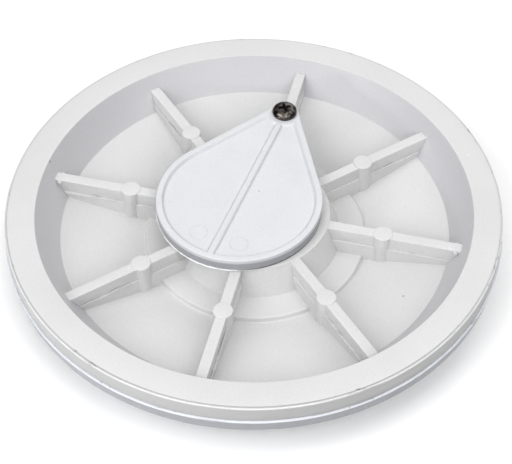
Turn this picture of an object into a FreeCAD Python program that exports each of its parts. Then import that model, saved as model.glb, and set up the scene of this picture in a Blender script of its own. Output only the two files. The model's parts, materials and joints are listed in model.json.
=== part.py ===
"""Round two-shell float valve with a teardrop trim flap, as a parametric FreeCAD document.

Frame: +Z up, origin on the valve's axis in the flat base it stands on, millimetres.
The flap's pivot boss lies on +Y and the eight ribs stand at every 45 degrees from +X.
"""
import FreeCAD, Part
import math
import os

import Sketcher

Vector = FreeCAD.Vector

# ---------------------------------------------------------------------------------------------
# Driving dimensions: alias, value (mm, degrees or a count), what it is
# ---------------------------------------------------------------------------------------------
DIMENSIONS = [
    # Whole valve
    ("wall", 2.2, "general wall thickness of both shells"),
    ("rim_height", 28.0, "flat rim face above the base"),
    ("seam_height", 21.0, "joint plane of the two shells at the rim"),
    ("rib_top", 23.2, "top plane of ribs, bosses and hub"),
    # Ribbed body, from the rim inwards
    ("rim_radius", 91.3, "outer wall of the ribbed body"),
    ("rim_step_radius", 90.4, "edge of the raised flat rim face"),
    ("rim_step", 0.25, "height of the raised flat rim face over the edge strip"),
    ("rim_inner_radius", 80.6, "mouth of the dish"),
    ("floor_radius", 72.6, "foot of the conical dish wall"),
    ("floor_outer_z", 14.9, "dish floor at the foot of the wall"),
    ("ring_radius", 41.5, "foot of the raised ring round the hub"),
    ("floor_inner_z", 9.3, "dish floor at the foot of the raised ring"),
    ("ring_top_z", 11.5, "top of the raised ring"),
    ("ring_draft", 0.3, "lean of the ring's step"),
    ("hub_foot_radius", 32.0, "hub cone where it meets the raised ring"),
    ("hub_top_radius", 27.7, "hub cone at its rim"),
    ("port_radius", 22.5, "water port through the hub"),
    ("hub_lip", 2.5, "thickness of the hub's inward lip"),
    ("socket_radius", 24.65, "socket under the lip for the cover's tube"),
    ("socket_foot_z", 17.0, "lower end of the socket"),
    ("rim_underside", 2.4, "thickness of the flat rim"),
    # Ribs and bosses
    ("rib_count", 8, "ribs and bosses in the dish"),
    ("rib_width", 3.9, "rib above its ledge"),
    ("rib_ledge", 0.5, "how far the rib's lower half stands out on each side"),
    ("ledge_z", 17.4, "height of the rib's ledge"),
    ("boss_circle", 48.1, "pitch radius of the bosses"),
    ("boss_top_radius", 3.55, "boss at its top"),
    ("boss_draft", 1.1, "draft of the boss's side, narrower at the foot"),
    ("pip_radius", 0.9, "round pips by the outer ends of two ribs"),
    ("pip_stand", 0.8, "how far a pip stands out of the rib's side"),
    ("pilot_radius", 1.75, "pilot hole for the pivot screw"),
    ("pilot_depth", 12.0, "depth of the pilot hole"),
    # Float cover
    ("cover_radius", 92.0, "outer band of the cover, the widest part of the valve"),
    ("band_foot_z", 15.2, "lower edge of the cover's band"),
    ("bowl_mouth_radius", 86.5, "cover's bowl where it leaves the band"),
    ("bowl_foot_radius", 77.0, "foot of the bowl's side"),
    ("bowl_foot_z", 5.5, "height of that foot"),
    ("base_radius", 40.0, "flat base ring the valve stands on"),
    ("spigot_radius", 89.05, "cover's spigot inside the body's outer wall"),
    ("spigot_thickness", 1.95, "wall of the spigot"),
    ("spigot_top_z", 24.0, "top of the spigot"),
    ("tube_radius", 24.6, "outside of the cover's tube in the hub's socket"),
    ("joint_gap", 0.05, "film of cement between the shells"),
    # Trim flap
    ("flap_gap", 0.1, "flap over the hub and boss"),
    ("flap_height", 5.2, "underside to the top of the bead"),
    ("flap_radius", 30.8, "round end of the flap"),
    ("flap_tip_radius", 5.3, "pivot end of the flap"),
    ("bead_width", 3.0, "raised bead round the flap"),
    ("bead_height", 1.0, "bead over the flap's plate"),
    ("bead_slope", 0.8, "chamfer on the bead's inner edge"),
    ("bead_round", 0.8, "rounding of the bead's outer edge"),
    ("pivot_pad_radius", 6.8, "raised pad under the screw head"),
    ("centre_bead_foot", 3.2, "width of the centre bead on the plate"),
    ("centre_bead_top", 2.0, "width of the centre bead's top"),
    ("flap_turn", 7.4, "flap's turn away from closed, clockwise from above"),
    ("flap_core_radius", 20.0, "shallow pocket under the flap"),
    ("flap_core_depth", 1.8, "depth of that pocket"),
    ("pivot_hole_radius", 2.5, "hole for the screw"),
    ("pin_mark_radius", 3.2, "ejector mark on the plate"),
    ("pin_mark_groove", 0.14, "width and depth of the mark's outline"),
    ("pin_mark_reach", 68.4, "ejector mark from the pivot, along the flap"),
    ("pin_mark_side", 7.9, "ejector mark from the flap's centre line"),
    # Pivot screw
    ("head_radius", 4.75, "pan head"),
    ("head_height", 2.9, "pan head over its seat"),
    ("head_side", 1.1, "height of the head's side before it rounds over"),
    ("head_crown_radius", 3.1, "flat of the head's crown"),
    ("head_gap", 0.1, "head over the flap's pad"),
    ("shank_radius", 2.42, "plain shank and thread crests"),
    ("thread_root_radius", 1.75, "thread roots"),
    ("thread_pitch", 1.6, "thread pitch"),
    ("screw_length", 16.0, "seat of the head to the point"),
    ("point_length", 2.6, "tapered point"),
    ("recess_span", 5.2, "cross recess, tip to tip"),
    ("recess_width", 1.1, "width of a recess wing"),
    ("recess_depth", 1.9, "depth of the wings"),
    ("recess_well_radius", 1.25, "round well at the middle of the recess"),
    ("recess_well_depth", 2.4, "depth of the well"),
]

THREAD_RIDGES = 5
PIP_RIBS = 2
EDGE_ROUND = 0.4


class Size:
    """A number together with the spreadsheet expression that gives it."""

    def __init__(self, value, text):
        self.value = float(value)
        self.text = text

    def _join(self, other, sign, value):
        return Size(value, "(%s %s %s)" % (self.text, sign, as_size(other).text))

    def __add__(self, other):
        return self._join(other, "+", self.value + as_size(other).value)

    def __sub__(self, other):
        return self._join(other, "-", self.value - as_size(other).value)

    def __mul__(self, other):
        return self._join(other, "*", self.value * as_size(other).value)

    def __truediv__(self, other):
        return self._join(other, "/", self.value / as_size(other).value)

    def __neg__(self):
        return Size(0, "0") - self


def as_size(value):
    """A Size as it is, or a plain number as a Size."""
    return value if isinstance(value, Size) else Size(value, repr(float(value)))


def root(value):
    """Square root of a Size."""
    return Size(math.sqrt(value.value), "sqrt(%s)" % value.text)


def write_sheet(doc):
    """Put the driving dimensions in the spreadsheet and give them back as Sizes by alias."""
    sheet = doc.addObject("Spreadsheet::Sheet", "Sizes")
    sizes = {}
    for row, (alias, value, note) in enumerate(DIMENSIONS, start=1):
        sheet.set("A%d" % row, alias)
        sheet.set("B%d" % row, str(value))
        sheet.set("C%d" % row, note)
        sheet.setAlias("B%d" % row, alias)
        sizes[alias] = Size(value, "Sizes.%s" % alias)
    doc.recompute()
    return sizes


doc = FreeCAD.newDocument("float_valve")
D = write_sheet(doc)


# ---------------------------------------------------------------------------------------------
# Helpers for bodies, sketches and features
# ---------------------------------------------------------------------------------------------
def new_body(label):
    """A PartDesign body whose Label names its file."""
    body = doc.addObject("PartDesign::Body", label)
    body.Label = label
    return body


def origin_item(body, role):
    """A plane or axis of the body's own origin."""
    return next(item for item in body.Origin.OriginFeatures if item.Role == role)


def new_sketch(body, name, plane, height=None):
    """An empty sketch on an origin plane, raised above it by height if one is given."""
    sketch = body.newObject("Sketcher::SketchObject", name)
    sketch.AttachmentSupport = (origin_item(body, plane), [""])
    sketch.MapMode = "FlatFace"
    if height is not None:
        sketch.AttachmentOffset = FreeCAD.Placement(Vector(0, 0, height.value), FreeCAD.Rotation())
        sketch.setExpression("AttachmentOffset.Base.z", height.text)
    return sketch


def dimension(sketch, kind, refs, size):
    """Add a dimensional constraint and bind it to the sheet."""
    index = sketch.addConstraint(Sketcher.Constraint(kind, *refs, size.value))
    sketch.setExpression("Constraints[%d]" % index, size.text)


def pin_point(sketch, geo, pos, x, y):
    """Fix a point of the sketch by its distances from the origin."""
    for kind, size, axis in (("DistanceX", as_size(x), -2), ("DistanceY", as_size(y), -1)):
        if abs(size.value) < 1e-9:
            sketch.addConstraint(Sketcher.Constraint("PointOnObject", geo, pos, axis))
        else:
            dimension(sketch, kind, (-1, 1, geo, pos), size)


def polygon(sketch, points):
    """A closed outline of straight lines with every corner pinned."""
    first = sketch.GeometryCount
    corners = [Vector(as_size(x).value, as_size(y).value, 0) for x, y in points]
    count = len(corners)
    for i in range(count):
        sketch.addGeometry(Part.LineSegment(corners[i], corners[(i + 1) % count]))
    for i in range(count):
        sketch.addConstraint(Sketcher.Constraint("Coincident", first + i, 2, first + (i + 1) % count, 1))
    for i, (x, y) in enumerate(points):
        pin_point(sketch, first + i, 1, x, y)


def circle(sketch, x, y, radius):
    """A circle with its centre and radius bound to the sheet."""
    centre = Vector(as_size(x).value, as_size(y).value, 0)
    geo = sketch.addGeometry(Part.Circle(centre, Vector(0, 0, 1), radius.value))
    pin_point(sketch, geo, 3, x, y)
    dimension(sketch, "Radius", (geo,), radius)


def revolve(body, name, points):
    """Turn an outline of (radius, height) corners about the body's Z axis."""
    sketch = new_sketch(body, name + "_profile", "XZ_Plane")
    polygon(sketch, points)
    feature = body.newObject("PartDesign::Revolution", name)
    feature.Profile = sketch
    feature.ReferenceAxis = (sketch, ["V_Axis"])
    feature.Angle = 360.0
    return feature


def extrude(body, kind, name, sketch, length, reverse=False, midplane=False):
    """Pad or Pocket a sketch by a bound length."""
    feature = body.newObject("PartDesign::" + kind, name)
    feature.Profile = sketch
    feature.Length = length.value
    feature.setExpression("Length", length.text)
    feature.Reversed = reverse
    feature.Midplane = midplane
    return feature


def edges_where(shape, test):
    """Names of the edges whose midpoint passes the test."""
    names = []
    for number, edge in enumerate(shape.Edges, start=1):
        middle = edge.valueAt((edge.FirstParameter + edge.LastParameter) / 2)
        if test(edge, middle):
            names.append("Edge%d" % number)
    return names


def dress(body, kind, name, radius, test):
    """Fillet or chamfer the edges of the body's tip that pass the test."""
    doc.recompute()
    base = body.Tip
    names = edges_where(base.Shape, test)
    if not names:
        raise RuntimeError("%s finds no edge" % name)
    feature = body.newObject("PartDesign::" + kind, name)
    feature.Base = (base, names)
    if kind == "Fillet":
        feature.Radius = radius
    else:
        feature.Size = radius
    return feature


def ring_edge(radius, height, slack=0.02):
    """A test for the circular edge of a given radius and height about the Z axis."""
    def test(edge, middle):
        reach = math.hypot(middle.x, middle.y)
        return abs(reach - radius) < slack and abs(middle.z - height) < slack
    return test


def any_edge(*tests):
    """A test that passes when one of the given tests does."""
    return lambda edge, middle: any(test(edge, middle) for test in tests)


def polar_pattern(body, name, features, count):
    """Repeat features evenly about the body's Z axis."""
    pattern = body.newObject("PartDesign::PolarPattern", name)
    pattern.Originals = features
    pattern.Axis = (origin_item(body, "Z_Axis"), [""])
    pattern.Angle = 360.0
    pattern.Occurrences = int(count.value)
    pattern.setExpression("Occurrences", count.text)
    body.Tip = pattern
    return pattern


def between(low, high, share):
    """A Size part of the way from one Size to another."""
    return low + (high - low) * share


# ---------------------------------------------------------------------------------------------
# Ribbed body: dish with ribs, bosses and hub, moulded in one piece
# ---------------------------------------------------------------------------------------------
def wall_radius_at(z):
    """Inner face of the conical dish wall at a height."""
    share = (z - D["floor_outer_z"]) / (D["rim_height"] - D["floor_outer_z"])
    return between(D["floor_radius"], D["rim_inner_radius"], share)


def floor_z_at(radius):
    """Top of the dish floor at a radius outside the raised ring."""
    share = (radius - D["ring_radius"]) / (D["floor_radius"] - D["ring_radius"])
    return between(D["floor_inner_z"], D["floor_outer_z"], share)


def hub_radius_at(z):
    """Outside of the hub cone at a height."""
    share = (z - D["ring_top_z"]) / (D["rib_top"] - D["ring_top_z"])
    return between(D["hub_foot_radius"], D["hub_top_radius"], share)


def dish_profile():
    """Section of the ribbed body from its outer wall in to the water port and back underneath."""
    wall = D["wall"]
    run = D["rim_inner_radius"] - D["floor_radius"]
    rise = D["rim_height"] - D["floor_outer_z"]
    slant = root(run * run + rise * rise)
    wall_across = wall * slant / rise
    strip_z = D["rim_height"] - D["rim_step"]
    ring_edge_radius = D["ring_radius"] - D["ring_draft"]
    underside_z = D["rim_height"] - D["rim_underside"]
    lip_z = D["rib_top"] - D["hub_lip"]
    corner_z = D["floor_outer_z"] - wall * 0.55
    ring_inner = ring_edge_radius - wall
    return [
        (D["rim_radius"], D["seam_height"]),
        (D["rim_radius"], strip_z),
        (D["rim_step_radius"], strip_z),
        (D["rim_step_radius"], D["rim_height"]),
        (D["rim_inner_radius"], D["rim_height"]),
        (D["floor_radius"], D["floor_outer_z"]),
        (D["ring_radius"], D["floor_inner_z"]),
        (ring_edge_radius, D["ring_top_z"]),
        (D["hub_foot_radius"], D["ring_top_z"]),
        (D["hub_top_radius"], D["rib_top"]),
        (D["port_radius"], D["rib_top"]),
        (D["port_radius"], lip_z),
        (D["socket_radius"], lip_z),
        (D["socket_radius"], D["socket_foot_z"]),
        (hub_radius_at(D["socket_foot_z"]) - wall, D["socket_foot_z"]),
        (D["hub_foot_radius"] - wall, D["ring_top_z"] - wall),
        (ring_inner, D["ring_top_z"] - wall),
        (ring_inner, D["floor_inner_z"] - wall),
        (wall_radius_at(corner_z) + wall_across, corner_z),
        (wall_radius_at(underside_z) + wall_across, underside_z),
        (D["rim_radius"] - wall, underside_z),
        (D["rim_radius"] - wall, D["seam_height"]),
    ]


def rib_outline(top):
    """Section of a rib below a height, its hidden edges buried in the walls round it."""
    depth = D["wall"] * 0.4
    return [
        (hub_radius_at(top) - depth, top),
        (wall_radius_at(top) + depth, top),
        (D["floor_radius"] + depth, D["floor_outer_z"] - depth),
        (D["ring_radius"] - D["ring_draft"], D["floor_inner_z"] - depth),
        (D["ring_radius"] - D["ring_draft"] - depth, D["ring_top_z"] - depth),
        (D["hub_foot_radius"] - depth, D["ring_top_z"] - depth),
    ]


def make_rib(body, name, top, width):
    """One rib plate along +X."""
    sketch = new_sketch(body, name + "_outline", "XZ_Plane")
    polygon(sketch, rib_outline(top))
    return extrude(body, "Pad", name, sketch, width, midplane=True)


def make_boss(body):
    """One tapered boss on the +X rib, from the rib's top down into the dish floor."""
    height = D["rib_top"] - floor_z_at(D["boss_circle"]) + D["wall"] * 0.4
    sketch = new_sketch(body, "boss_outline", "XY_Plane", D["rib_top"])
    circle(sketch, D["boss_circle"], as_size(0), D["boss_top_radius"])
    boss = extrude(body, "Pad", "boss", sketch, height, reverse=True)
    boss.TaperAngle = -D["boss_draft"].value
    boss.setExpression("TaperAngle", "-(%s)" % D["boss_draft"].text)
    return boss


def make_pips(body):
    """Round pips through the outer ends of the two ribs on the X axis."""
    length = D["rib_width"] + D["pip_stand"] * 2
    height = D["rib_top"] - D["pip_radius"] * 1.6
    reach = wall_radius_at(height) - D["pip_radius"] * 1.5
    sketch = new_sketch(body, "pip_outline", "XZ_Plane")
    circle(sketch, reach, height, D["pip_radius"])
    pip = extrude(body, "Pad", "pip", sketch, length, midplane=True)
    doc.recompute()
    polar_pattern(body, "pips", [pip], as_size(PIP_RIBS))


def make_ribbed_body():
    """The dished shell with everything moulded in it."""
    body = new_body("ribbed_body")
    revolve(body, "dish", dish_profile())
    upper = make_rib(body, "rib_upper", D["rib_top"], D["rib_width"])
    lower = make_rib(body, "rib_lower", D["ledge_z"], D["rib_width"] + D["rib_ledge"] * 2)
    boss = make_boss(body)
    doc.recompute()
    polar_pattern(body, "ribs_and_bosses", [upper, lower, boss], D["rib_count"])
    make_pips(body)
    pilot = new_sketch(body, "pilot_outline", "XY_Plane", D["rib_top"])
    circle(pilot, as_size(0), D["boss_circle"], D["pilot_radius"])
    extrude(body, "Pocket", "pilot_hole", pilot, D["pilot_depth"])
    rim_top = D["rim_height"].value
    outer_edge = ring_edge(D["rim_radius"].value, rim_top - D["rim_step"].value)
    inner_edge = ring_edge(D["rim_inner_radius"].value, rim_top)
    dress(body, "Fillet", "rim_rounds", EDGE_ROUND, any_edge(outer_edge, inner_edge))
    return body


# ---------------------------------------------------------------------------------------------
# Float cover: the second shell, which closes the air chamber
# ---------------------------------------------------------------------------------------------
def cover_profile():
    """Section of the cover: spigot, outer band, bowl, base ring and centre tube."""
    wall = D["wall"]
    spigot_inner = D["spigot_radius"] - D["spigot_thickness"]
    run = D["bowl_mouth_radius"] - D["bowl_foot_radius"]
    rise = D["band_foot_z"] - D["bowl_foot_z"]
    across = wall * root(run * run + rise * rise) / rise
    inner_foot_z = D["bowl_foot_z"] + wall
    inner_foot = D["bowl_foot_radius"] - across + run * wall / rise
    inner_mouth_z = D["band_foot_z"] + wall
    inner_mouth = D["bowl_mouth_radius"] - across + run * wall / rise
    tube_top = D["rib_top"] - D["hub_lip"] - D["joint_gap"]
    return [
        (D["spigot_radius"], D["spigot_top_z"]),
        (D["spigot_radius"], D["seam_height"]),
        (D["cover_radius"], D["seam_height"]),
        (D["cover_radius"], D["band_foot_z"]),
        (D["bowl_mouth_radius"], D["band_foot_z"]),
        (D["bowl_foot_radius"], D["bowl_foot_z"]),
        (D["base_radius"], as_size(0)),
        (D["port_radius"], as_size(0)),
        (D["port_radius"], tube_top),
        (D["tube_radius"], tube_top),
        (D["tube_radius"], wall),
        (D["base_radius"], wall),
        (inner_foot, inner_foot_z),
        (inner_mouth, inner_mouth_z),
        (spigot_inner, inner_mouth_z),
        (spigot_inner, D["spigot_top_z"]),
    ]


def make_float_cover():
    """The smooth shell under the ribbed body."""
    body = new_body("float_cover")
    revolve(body, "bowl", cover_profile())
    ledge = ring_edge(D["cover_radius"].value, D["seam_height"].value)
    foot = ring_edge(D["cover_radius"].value, D["band_foot_z"].value)
    dress(body, "Fillet", "band_rounds", EDGE_ROUND, any_edge(ledge, foot))
    return body


# ---------------------------------------------------------------------------------------------
# Trim flap: drawn closed, centred over the port, then turned about the pivot
# ---------------------------------------------------------------------------------------------
def tangent_angle():
    """Angle of the flap's straight sides, from the radii of its two ends."""
    return math.asin((D["flap_radius"].value - D["flap_tip_radius"].value) / D["boss_circle"].value)


def arc(sketch, y, radius, start, end):
    """An arc centred on the sketch's vertical axis, with its centre and radius bound."""
    centre = Part.Circle(Vector(0, y.value, 0), Vector(0, 0, 1), radius.value)
    geo = sketch.addGeometry(Part.ArcOfCircle(centre, start, end))
    pin_point(sketch, geo, 3, as_size(0), y)
    dimension(sketch, "Radius", (geo,), radius)
    return geo


def line(sketch, start, end):
    """A straight line between two (x, y) places."""
    return sketch.addGeometry(Part.LineSegment(Vector(*start, 0), Vector(*end, 0)))


def teardrop(sketch):
    """The flap's outline: a large round end and a small pivot end joined by tangent sides."""
    lean = tangent_angle()
    pivot = D["boss_circle"]
    big = D["flap_radius"].value
    small = D["flap_tip_radius"].value
    round_end = arc(sketch, as_size(0), D["flap_radius"], math.pi - lean, 2 * math.pi + lean)
    tip = arc(sketch, pivot, D["flap_tip_radius"], lean, math.pi - lean)
    side = {}
    for sign in (1, -1):
        low = (sign * big * math.cos(lean), big * math.sin(lean))
        high = (sign * small * math.cos(lean), pivot.value + small * math.sin(lean))
        side[sign] = line(sketch, low, high)
    for end, line_geo, line_pos, arc_geo in ((2, side[1], 1, round_end), (1, side[-1], 1, round_end),
                                             (1, side[1], 2, tip), (2, side[-1], 2, tip)):
        sketch.addConstraint(Sketcher.Constraint("Tangent", arc_geo, end, line_geo, line_pos))


def plate_window(sketch):
    """The sunk plate's outline: the teardrop inside the bead, cut short by the pivot pad."""
    lean = tangent_angle()
    pivot = D["boss_circle"]
    inner = D["flap_radius"] - D["bead_width"]
    near = D["flap_tip_radius"] - D["bead_width"]
    pad = D["pivot_pad_radius"]
    back = math.sqrt(pad.value ** 2 - near.value ** 2)
    corner = Vector(near.value * math.cos(lean) + back * math.sin(lean),
                    pivot.value + near.value * math.sin(lean) - back * math.cos(lean), 0)
    right = math.atan2(corner.y - pivot.value, corner.x) % (2 * math.pi)
    left = 3 * math.pi - right
    round_end = arc(sketch, as_size(0), inner, math.pi - lean, 2 * math.pi + lean)
    pad_arc = arc(sketch, pivot, pad, left, right)
    side = {}
    for sign in (1, -1):
        low = (sign * inner.value * math.cos(lean), inner.value * math.sin(lean))
        side[sign] = line(sketch, low, (sign * corner.x, corner.y))
        dimension(sketch, "Distance", (pad_arc, 3, side[sign]), near)
    sketch.addConstraint(Sketcher.Constraint("Tangent", round_end, 2, side[1], 1))
    sketch.addConstraint(Sketcher.Constraint("Tangent", round_end, 1, side[-1], 1))
    sketch.addConstraint(Sketcher.Constraint("Coincident", pad_arc, 2, side[1], 2))
    sketch.addConstraint(Sketcher.Constraint("Coincident", pad_arc, 1, side[-1], 2))


def turn_about_pivot(body):
    """Turn a body that is drawn closed clockwise about the pivot axis, to where the flap rests."""
    reach = D["boss_circle"].text
    turn = "%s * 1deg" % D["flap_turn"].text
    body.Placement.Rotation = FreeCAD.Rotation(Vector(0, 0, -1), D["flap_turn"].value)
    body.setExpression("Placement.Rotation.Angle", turn)
    body.setExpression("Placement.Base.x", "-(%s) * sin(%s)" % (reach, turn))
    body.setExpression("Placement.Base.y", "(%s) * (1 - cos(%s))" % (reach, turn))


def make_trim_flap():
    """Teardrop flap with a raised bead, a centre bead and a pad under the screw head."""
    body = new_body("trim_flap")
    bottom = D["rib_top"] + D["flap_gap"]
    top = bottom + D["flap_height"]
    plate = top - D["bead_height"]
    outline = new_sketch(body, "flap_outline", "XY_Plane", bottom)
    teardrop(outline)
    extrude(body, "Pad", "flap_block", outline, D["flap_height"])
    window = new_sketch(body, "plate_outline", "XY_Plane", top)
    plate_window(window)
    extrude(body, "Pocket", "plate", window, D["bead_height"])

    flap_top = top.value
    lean = tangent_angle()
    pivot = D["boss_circle"].value

    def on_outline(edge, middle):
        across = abs(middle.x) * math.cos(lean) + (middle.y - pivot) * math.sin(lean)
        on_round_end = abs(math.hypot(middle.x, middle.y) - D["flap_radius"].value) < 0.02
        on_tip = abs(math.hypot(middle.x, middle.y - pivot) - D["flap_tip_radius"].value) < 0.02
        on_side = abs(across - D["flap_tip_radius"].value) < 0.02
        return abs(middle.z - flap_top) < 1e-3 and (on_round_end or on_tip or on_side)

    def on_window(edge, middle):
        return abs(middle.z - flap_top) < 1e-3 and not on_outline(edge, middle)

    dress(body, "Chamfer", "bead_inner_slope", D["bead_slope"].value, on_window)
    dress(body, "Fillet", "bead_outer_round", D["bead_round"].value, on_outline)

    inner_end = D["boss_circle"] - D["pivot_pad_radius"] + D["bead_slope"] + 0.4
    outer_end = D["flap_radius"] - D["bead_width"] + D["bead_slope"] + 0.4
    bead = new_sketch(body, "centre_bead_section", "XZ_Plane", -inner_end)
    foot = D["centre_bead_foot"] / 2
    crest = D["centre_bead_top"] / 2
    polygon(bead, [(-foot, plate - D["bead_height"]), (foot, plate - D["bead_height"]), (foot, plate),
                   (crest, top), (-crest, top), (-foot, plate)])
    extrude(body, "Pad", "centre_bead", bead, inner_end + outer_end)

    hole = new_sketch(body, "pivot_hole_outline", "XY_Plane", top)
    circle(hole, as_size(0), D["boss_circle"], D["pivot_hole_radius"])
    extrude(body, "Pocket", "pivot_hole", hole, D["flap_height"] + 1)
    core = new_sketch(body, "core_outline", "XY_Plane", bottom)
    circle(core, as_size(0), as_size(0), D["flap_core_radius"])
    extrude(body, "Pocket", "underside_core", core, D["flap_core_depth"], reverse=True)
    for sign, side in ((1, "right"), (-1, "left")):
        mark = new_sketch(body, "pin_mark_outline_" + side, "XY_Plane", plate)
        x = D["pin_mark_side"] * sign
        y = D["boss_circle"] - D["pin_mark_reach"]
        circle(mark, x, y, D["pin_mark_radius"])
        circle(mark, x, y, D["pin_mark_radius"] + D["pin_mark_groove"])
        extrude(body, "Pocket", "pin_mark_" + side, mark, D["pin_mark_groove"])
    turn_about_pivot(body)
    return body


# ---------------------------------------------------------------------------------------------
# Pivot screw: pan head, cross recess, plain shank through the flap, thread in the boss
# ---------------------------------------------------------------------------------------------
def screw_profile():
    """Half section of the screw about its own axis, from the crown down to the point."""
    seat = D["rib_top"] + D["flap_gap"] + D["flap_height"] + D["head_gap"]
    crown = seat + D["head_height"]
    tip = seat - D["screw_length"]
    points = [
        (as_size(0), crown),
        (D["head_crown_radius"] * 0.55, crown),
        (D["head_crown_radius"], crown - (D["head_height"] - D["head_side"]) * 0.16),
        (D["head_radius"] - 0.55, crown - (D["head_height"] - D["head_side"]) * 0.56),
        (D["head_radius"], seat + D["head_side"]),
        (D["head_radius"], seat),
        (D["shank_radius"], seat),
    ]
    first = D["rib_top"] - 0.3
    for ridge in range(THREAD_RIDGES):
        z = first - D["thread_pitch"] * ridge
        points.append((D["shank_radius"], z))
        points.append((D["thread_root_radius"], z - D["thread_pitch"] * 0.35))
        points.append((D["thread_root_radius"], z - D["thread_pitch"] * 0.65))
    points.append((D["shank_radius"] - 0.2, first - D["thread_pitch"] * THREAD_RIDGES))
    points.append((D["thread_root_radius"], tip + D["point_length"] * 0.7))
    points.append((as_size(0), tip))
    return points, crown


def cross_outline(sketch):
    """Plus-shaped outline of the driver recess."""
    half = D["recess_width"] / 2
    tip = D["recess_span"] / 2
    quarter = [(tip, -half), (tip, half), (half, half)]
    corners = []
    for turn in range(4):
        for x, y in quarter:
            corners.append((x, y))
        quarter = [(-y, x) for x, y in quarter]
    polygon(sketch, corners)


def make_pivot_screw():
    """The screw, drawn on the Z axis and carried to the pivot boss."""
    body = new_body("pivot_screw")
    points, crown = screw_profile()
    revolve(body, "screw_blank", points)
    cross = new_sketch(body, "recess_outline", "XY_Plane", crown)
    cross_outline(cross)
    wings = extrude(body, "Pocket", "recess_wings", cross, D["recess_depth"])
    wings.TaperAngle = -6
    well = body.newObject("PartDesign::SubtractiveCone", "recess_well")
    well.AttachmentSupport = (origin_item(body, "XY_Plane"), [""])
    well.MapMode = "FlatFace"
    sizes = (("Radius1", as_size(0.3)), ("Radius2", D["recess_well_radius"]),
             ("Height", D["recess_well_depth"]), ("AttachmentOffset.Base.z", crown - D["recess_well_depth"]))
    for name, size in sizes:
        well.setExpression(name, size.text)
    body.setExpression("Placement.Base.y", D["boss_circle"].text)
    return body


def check(parts):
    """Stop if any feature failed or any finished piece is empty or invalid."""
    for item in doc.Objects:
        if {"Invalid", "Error"} & set(item.State):
            raise RuntimeError("%s is in state %s" % (item.Name, item.State))
    for part in parts:
        if part.Shape.isNull() or not part.Shape.isValid():
            raise RuntimeError("%s has no valid shape" % part.Label)


def main():
    """Build every piece, check it and write it to its STEP file."""
    parts = [make_ribbed_body(), make_float_cover(), make_trim_flap(), make_pivot_screw()]
    doc.recompute()
    check(parts)
    os.makedirs("parts", exist_ok=True)
    for part in parts:
        part.Shape.exportStep("parts/%s.step" % part.Label)
        box = part.Shape.BoundBox
        print("%-12s volume %9.1f mm3, x %.2f..%.2f y %.2f..%.2f z %.2f..%.2f, solids %d" % (
            part.Label, part.Shape.Volume, box.XMin, box.XMax, box.YMin, box.YMax, box.ZMin, box.ZMax,
            len(part.Shape.Solids)))


main()
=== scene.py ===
"""Looks of a round float valve disc with a teardrop trim flap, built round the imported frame.

The ribbed shell, the cover, the flap and its screw are modelled again here at a finer grain than the frame's
own meshes, with their rounded edges, drafts, moulding marks and flash, and each one stands for its CAD node.
Metres, in the frame's own axes: +Z is the disc's axis and +Y points from the axis to the pivot screw.
"""
import json
import logging
import math
import random
from dataclasses import dataclass, field
from enum import Enum
from typing import Callable, Sequence, Union

import bpy
from mathutils import Matrix, Vector

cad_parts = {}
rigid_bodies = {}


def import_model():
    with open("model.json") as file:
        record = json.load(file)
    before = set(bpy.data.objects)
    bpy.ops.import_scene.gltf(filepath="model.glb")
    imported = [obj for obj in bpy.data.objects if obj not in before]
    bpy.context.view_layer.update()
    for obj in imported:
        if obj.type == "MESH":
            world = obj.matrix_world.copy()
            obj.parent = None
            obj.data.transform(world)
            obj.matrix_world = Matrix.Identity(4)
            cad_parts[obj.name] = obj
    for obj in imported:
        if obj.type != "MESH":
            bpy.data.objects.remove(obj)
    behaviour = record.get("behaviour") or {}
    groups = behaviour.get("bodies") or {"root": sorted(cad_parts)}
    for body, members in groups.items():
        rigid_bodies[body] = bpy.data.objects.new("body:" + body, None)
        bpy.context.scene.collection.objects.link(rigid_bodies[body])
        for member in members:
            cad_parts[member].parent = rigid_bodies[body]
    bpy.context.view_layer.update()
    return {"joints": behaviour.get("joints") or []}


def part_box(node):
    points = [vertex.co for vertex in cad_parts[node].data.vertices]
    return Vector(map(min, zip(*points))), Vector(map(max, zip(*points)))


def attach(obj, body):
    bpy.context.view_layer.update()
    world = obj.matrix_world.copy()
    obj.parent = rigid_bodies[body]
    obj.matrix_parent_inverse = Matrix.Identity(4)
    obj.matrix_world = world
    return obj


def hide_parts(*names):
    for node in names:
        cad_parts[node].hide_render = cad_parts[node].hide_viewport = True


MM = 0.001
FULL_TURN = 2 * math.pi
ORIGIN = Vector((0.0, 0.0, 0.0)).freeze()
SHELL_STEPS = 224
ROUND_STEPS = 5
FINE_ROUND_STEPS = 3
PLACE_SLACK = 0.004 * MM
SMOOTH_ANGLE = math.radians(32)
SEED = 7

log = logging.getLogger("float_valve")


class BodyName(Enum):
    """The frame's two rigid bodies."""

    FLOAT = "float"
    FLAP = "flap"


class Cut(Enum):
    """Ways that one solid is combined with another."""

    ADD = "UNION"
    REMOVE = "DIFFERENCE"
    KEEP = "INTERSECT"


# ---------------------------------------------------------------------------------------------
# Bench: the modelling steps that every piece uses
# ---------------------------------------------------------------------------------------------
@dataclass(frozen=True)
class Corner:
    """One corner of a section, with the radius that rounds it.

    Attributes:
        across: Distance from the section's own vertical axis, in metres.
        height: Height, in metres.
        radius: Rounding of the corner, or 0 for a crisp one.
    """

    across: float
    height: float
    radius: float = 0.0


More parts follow.
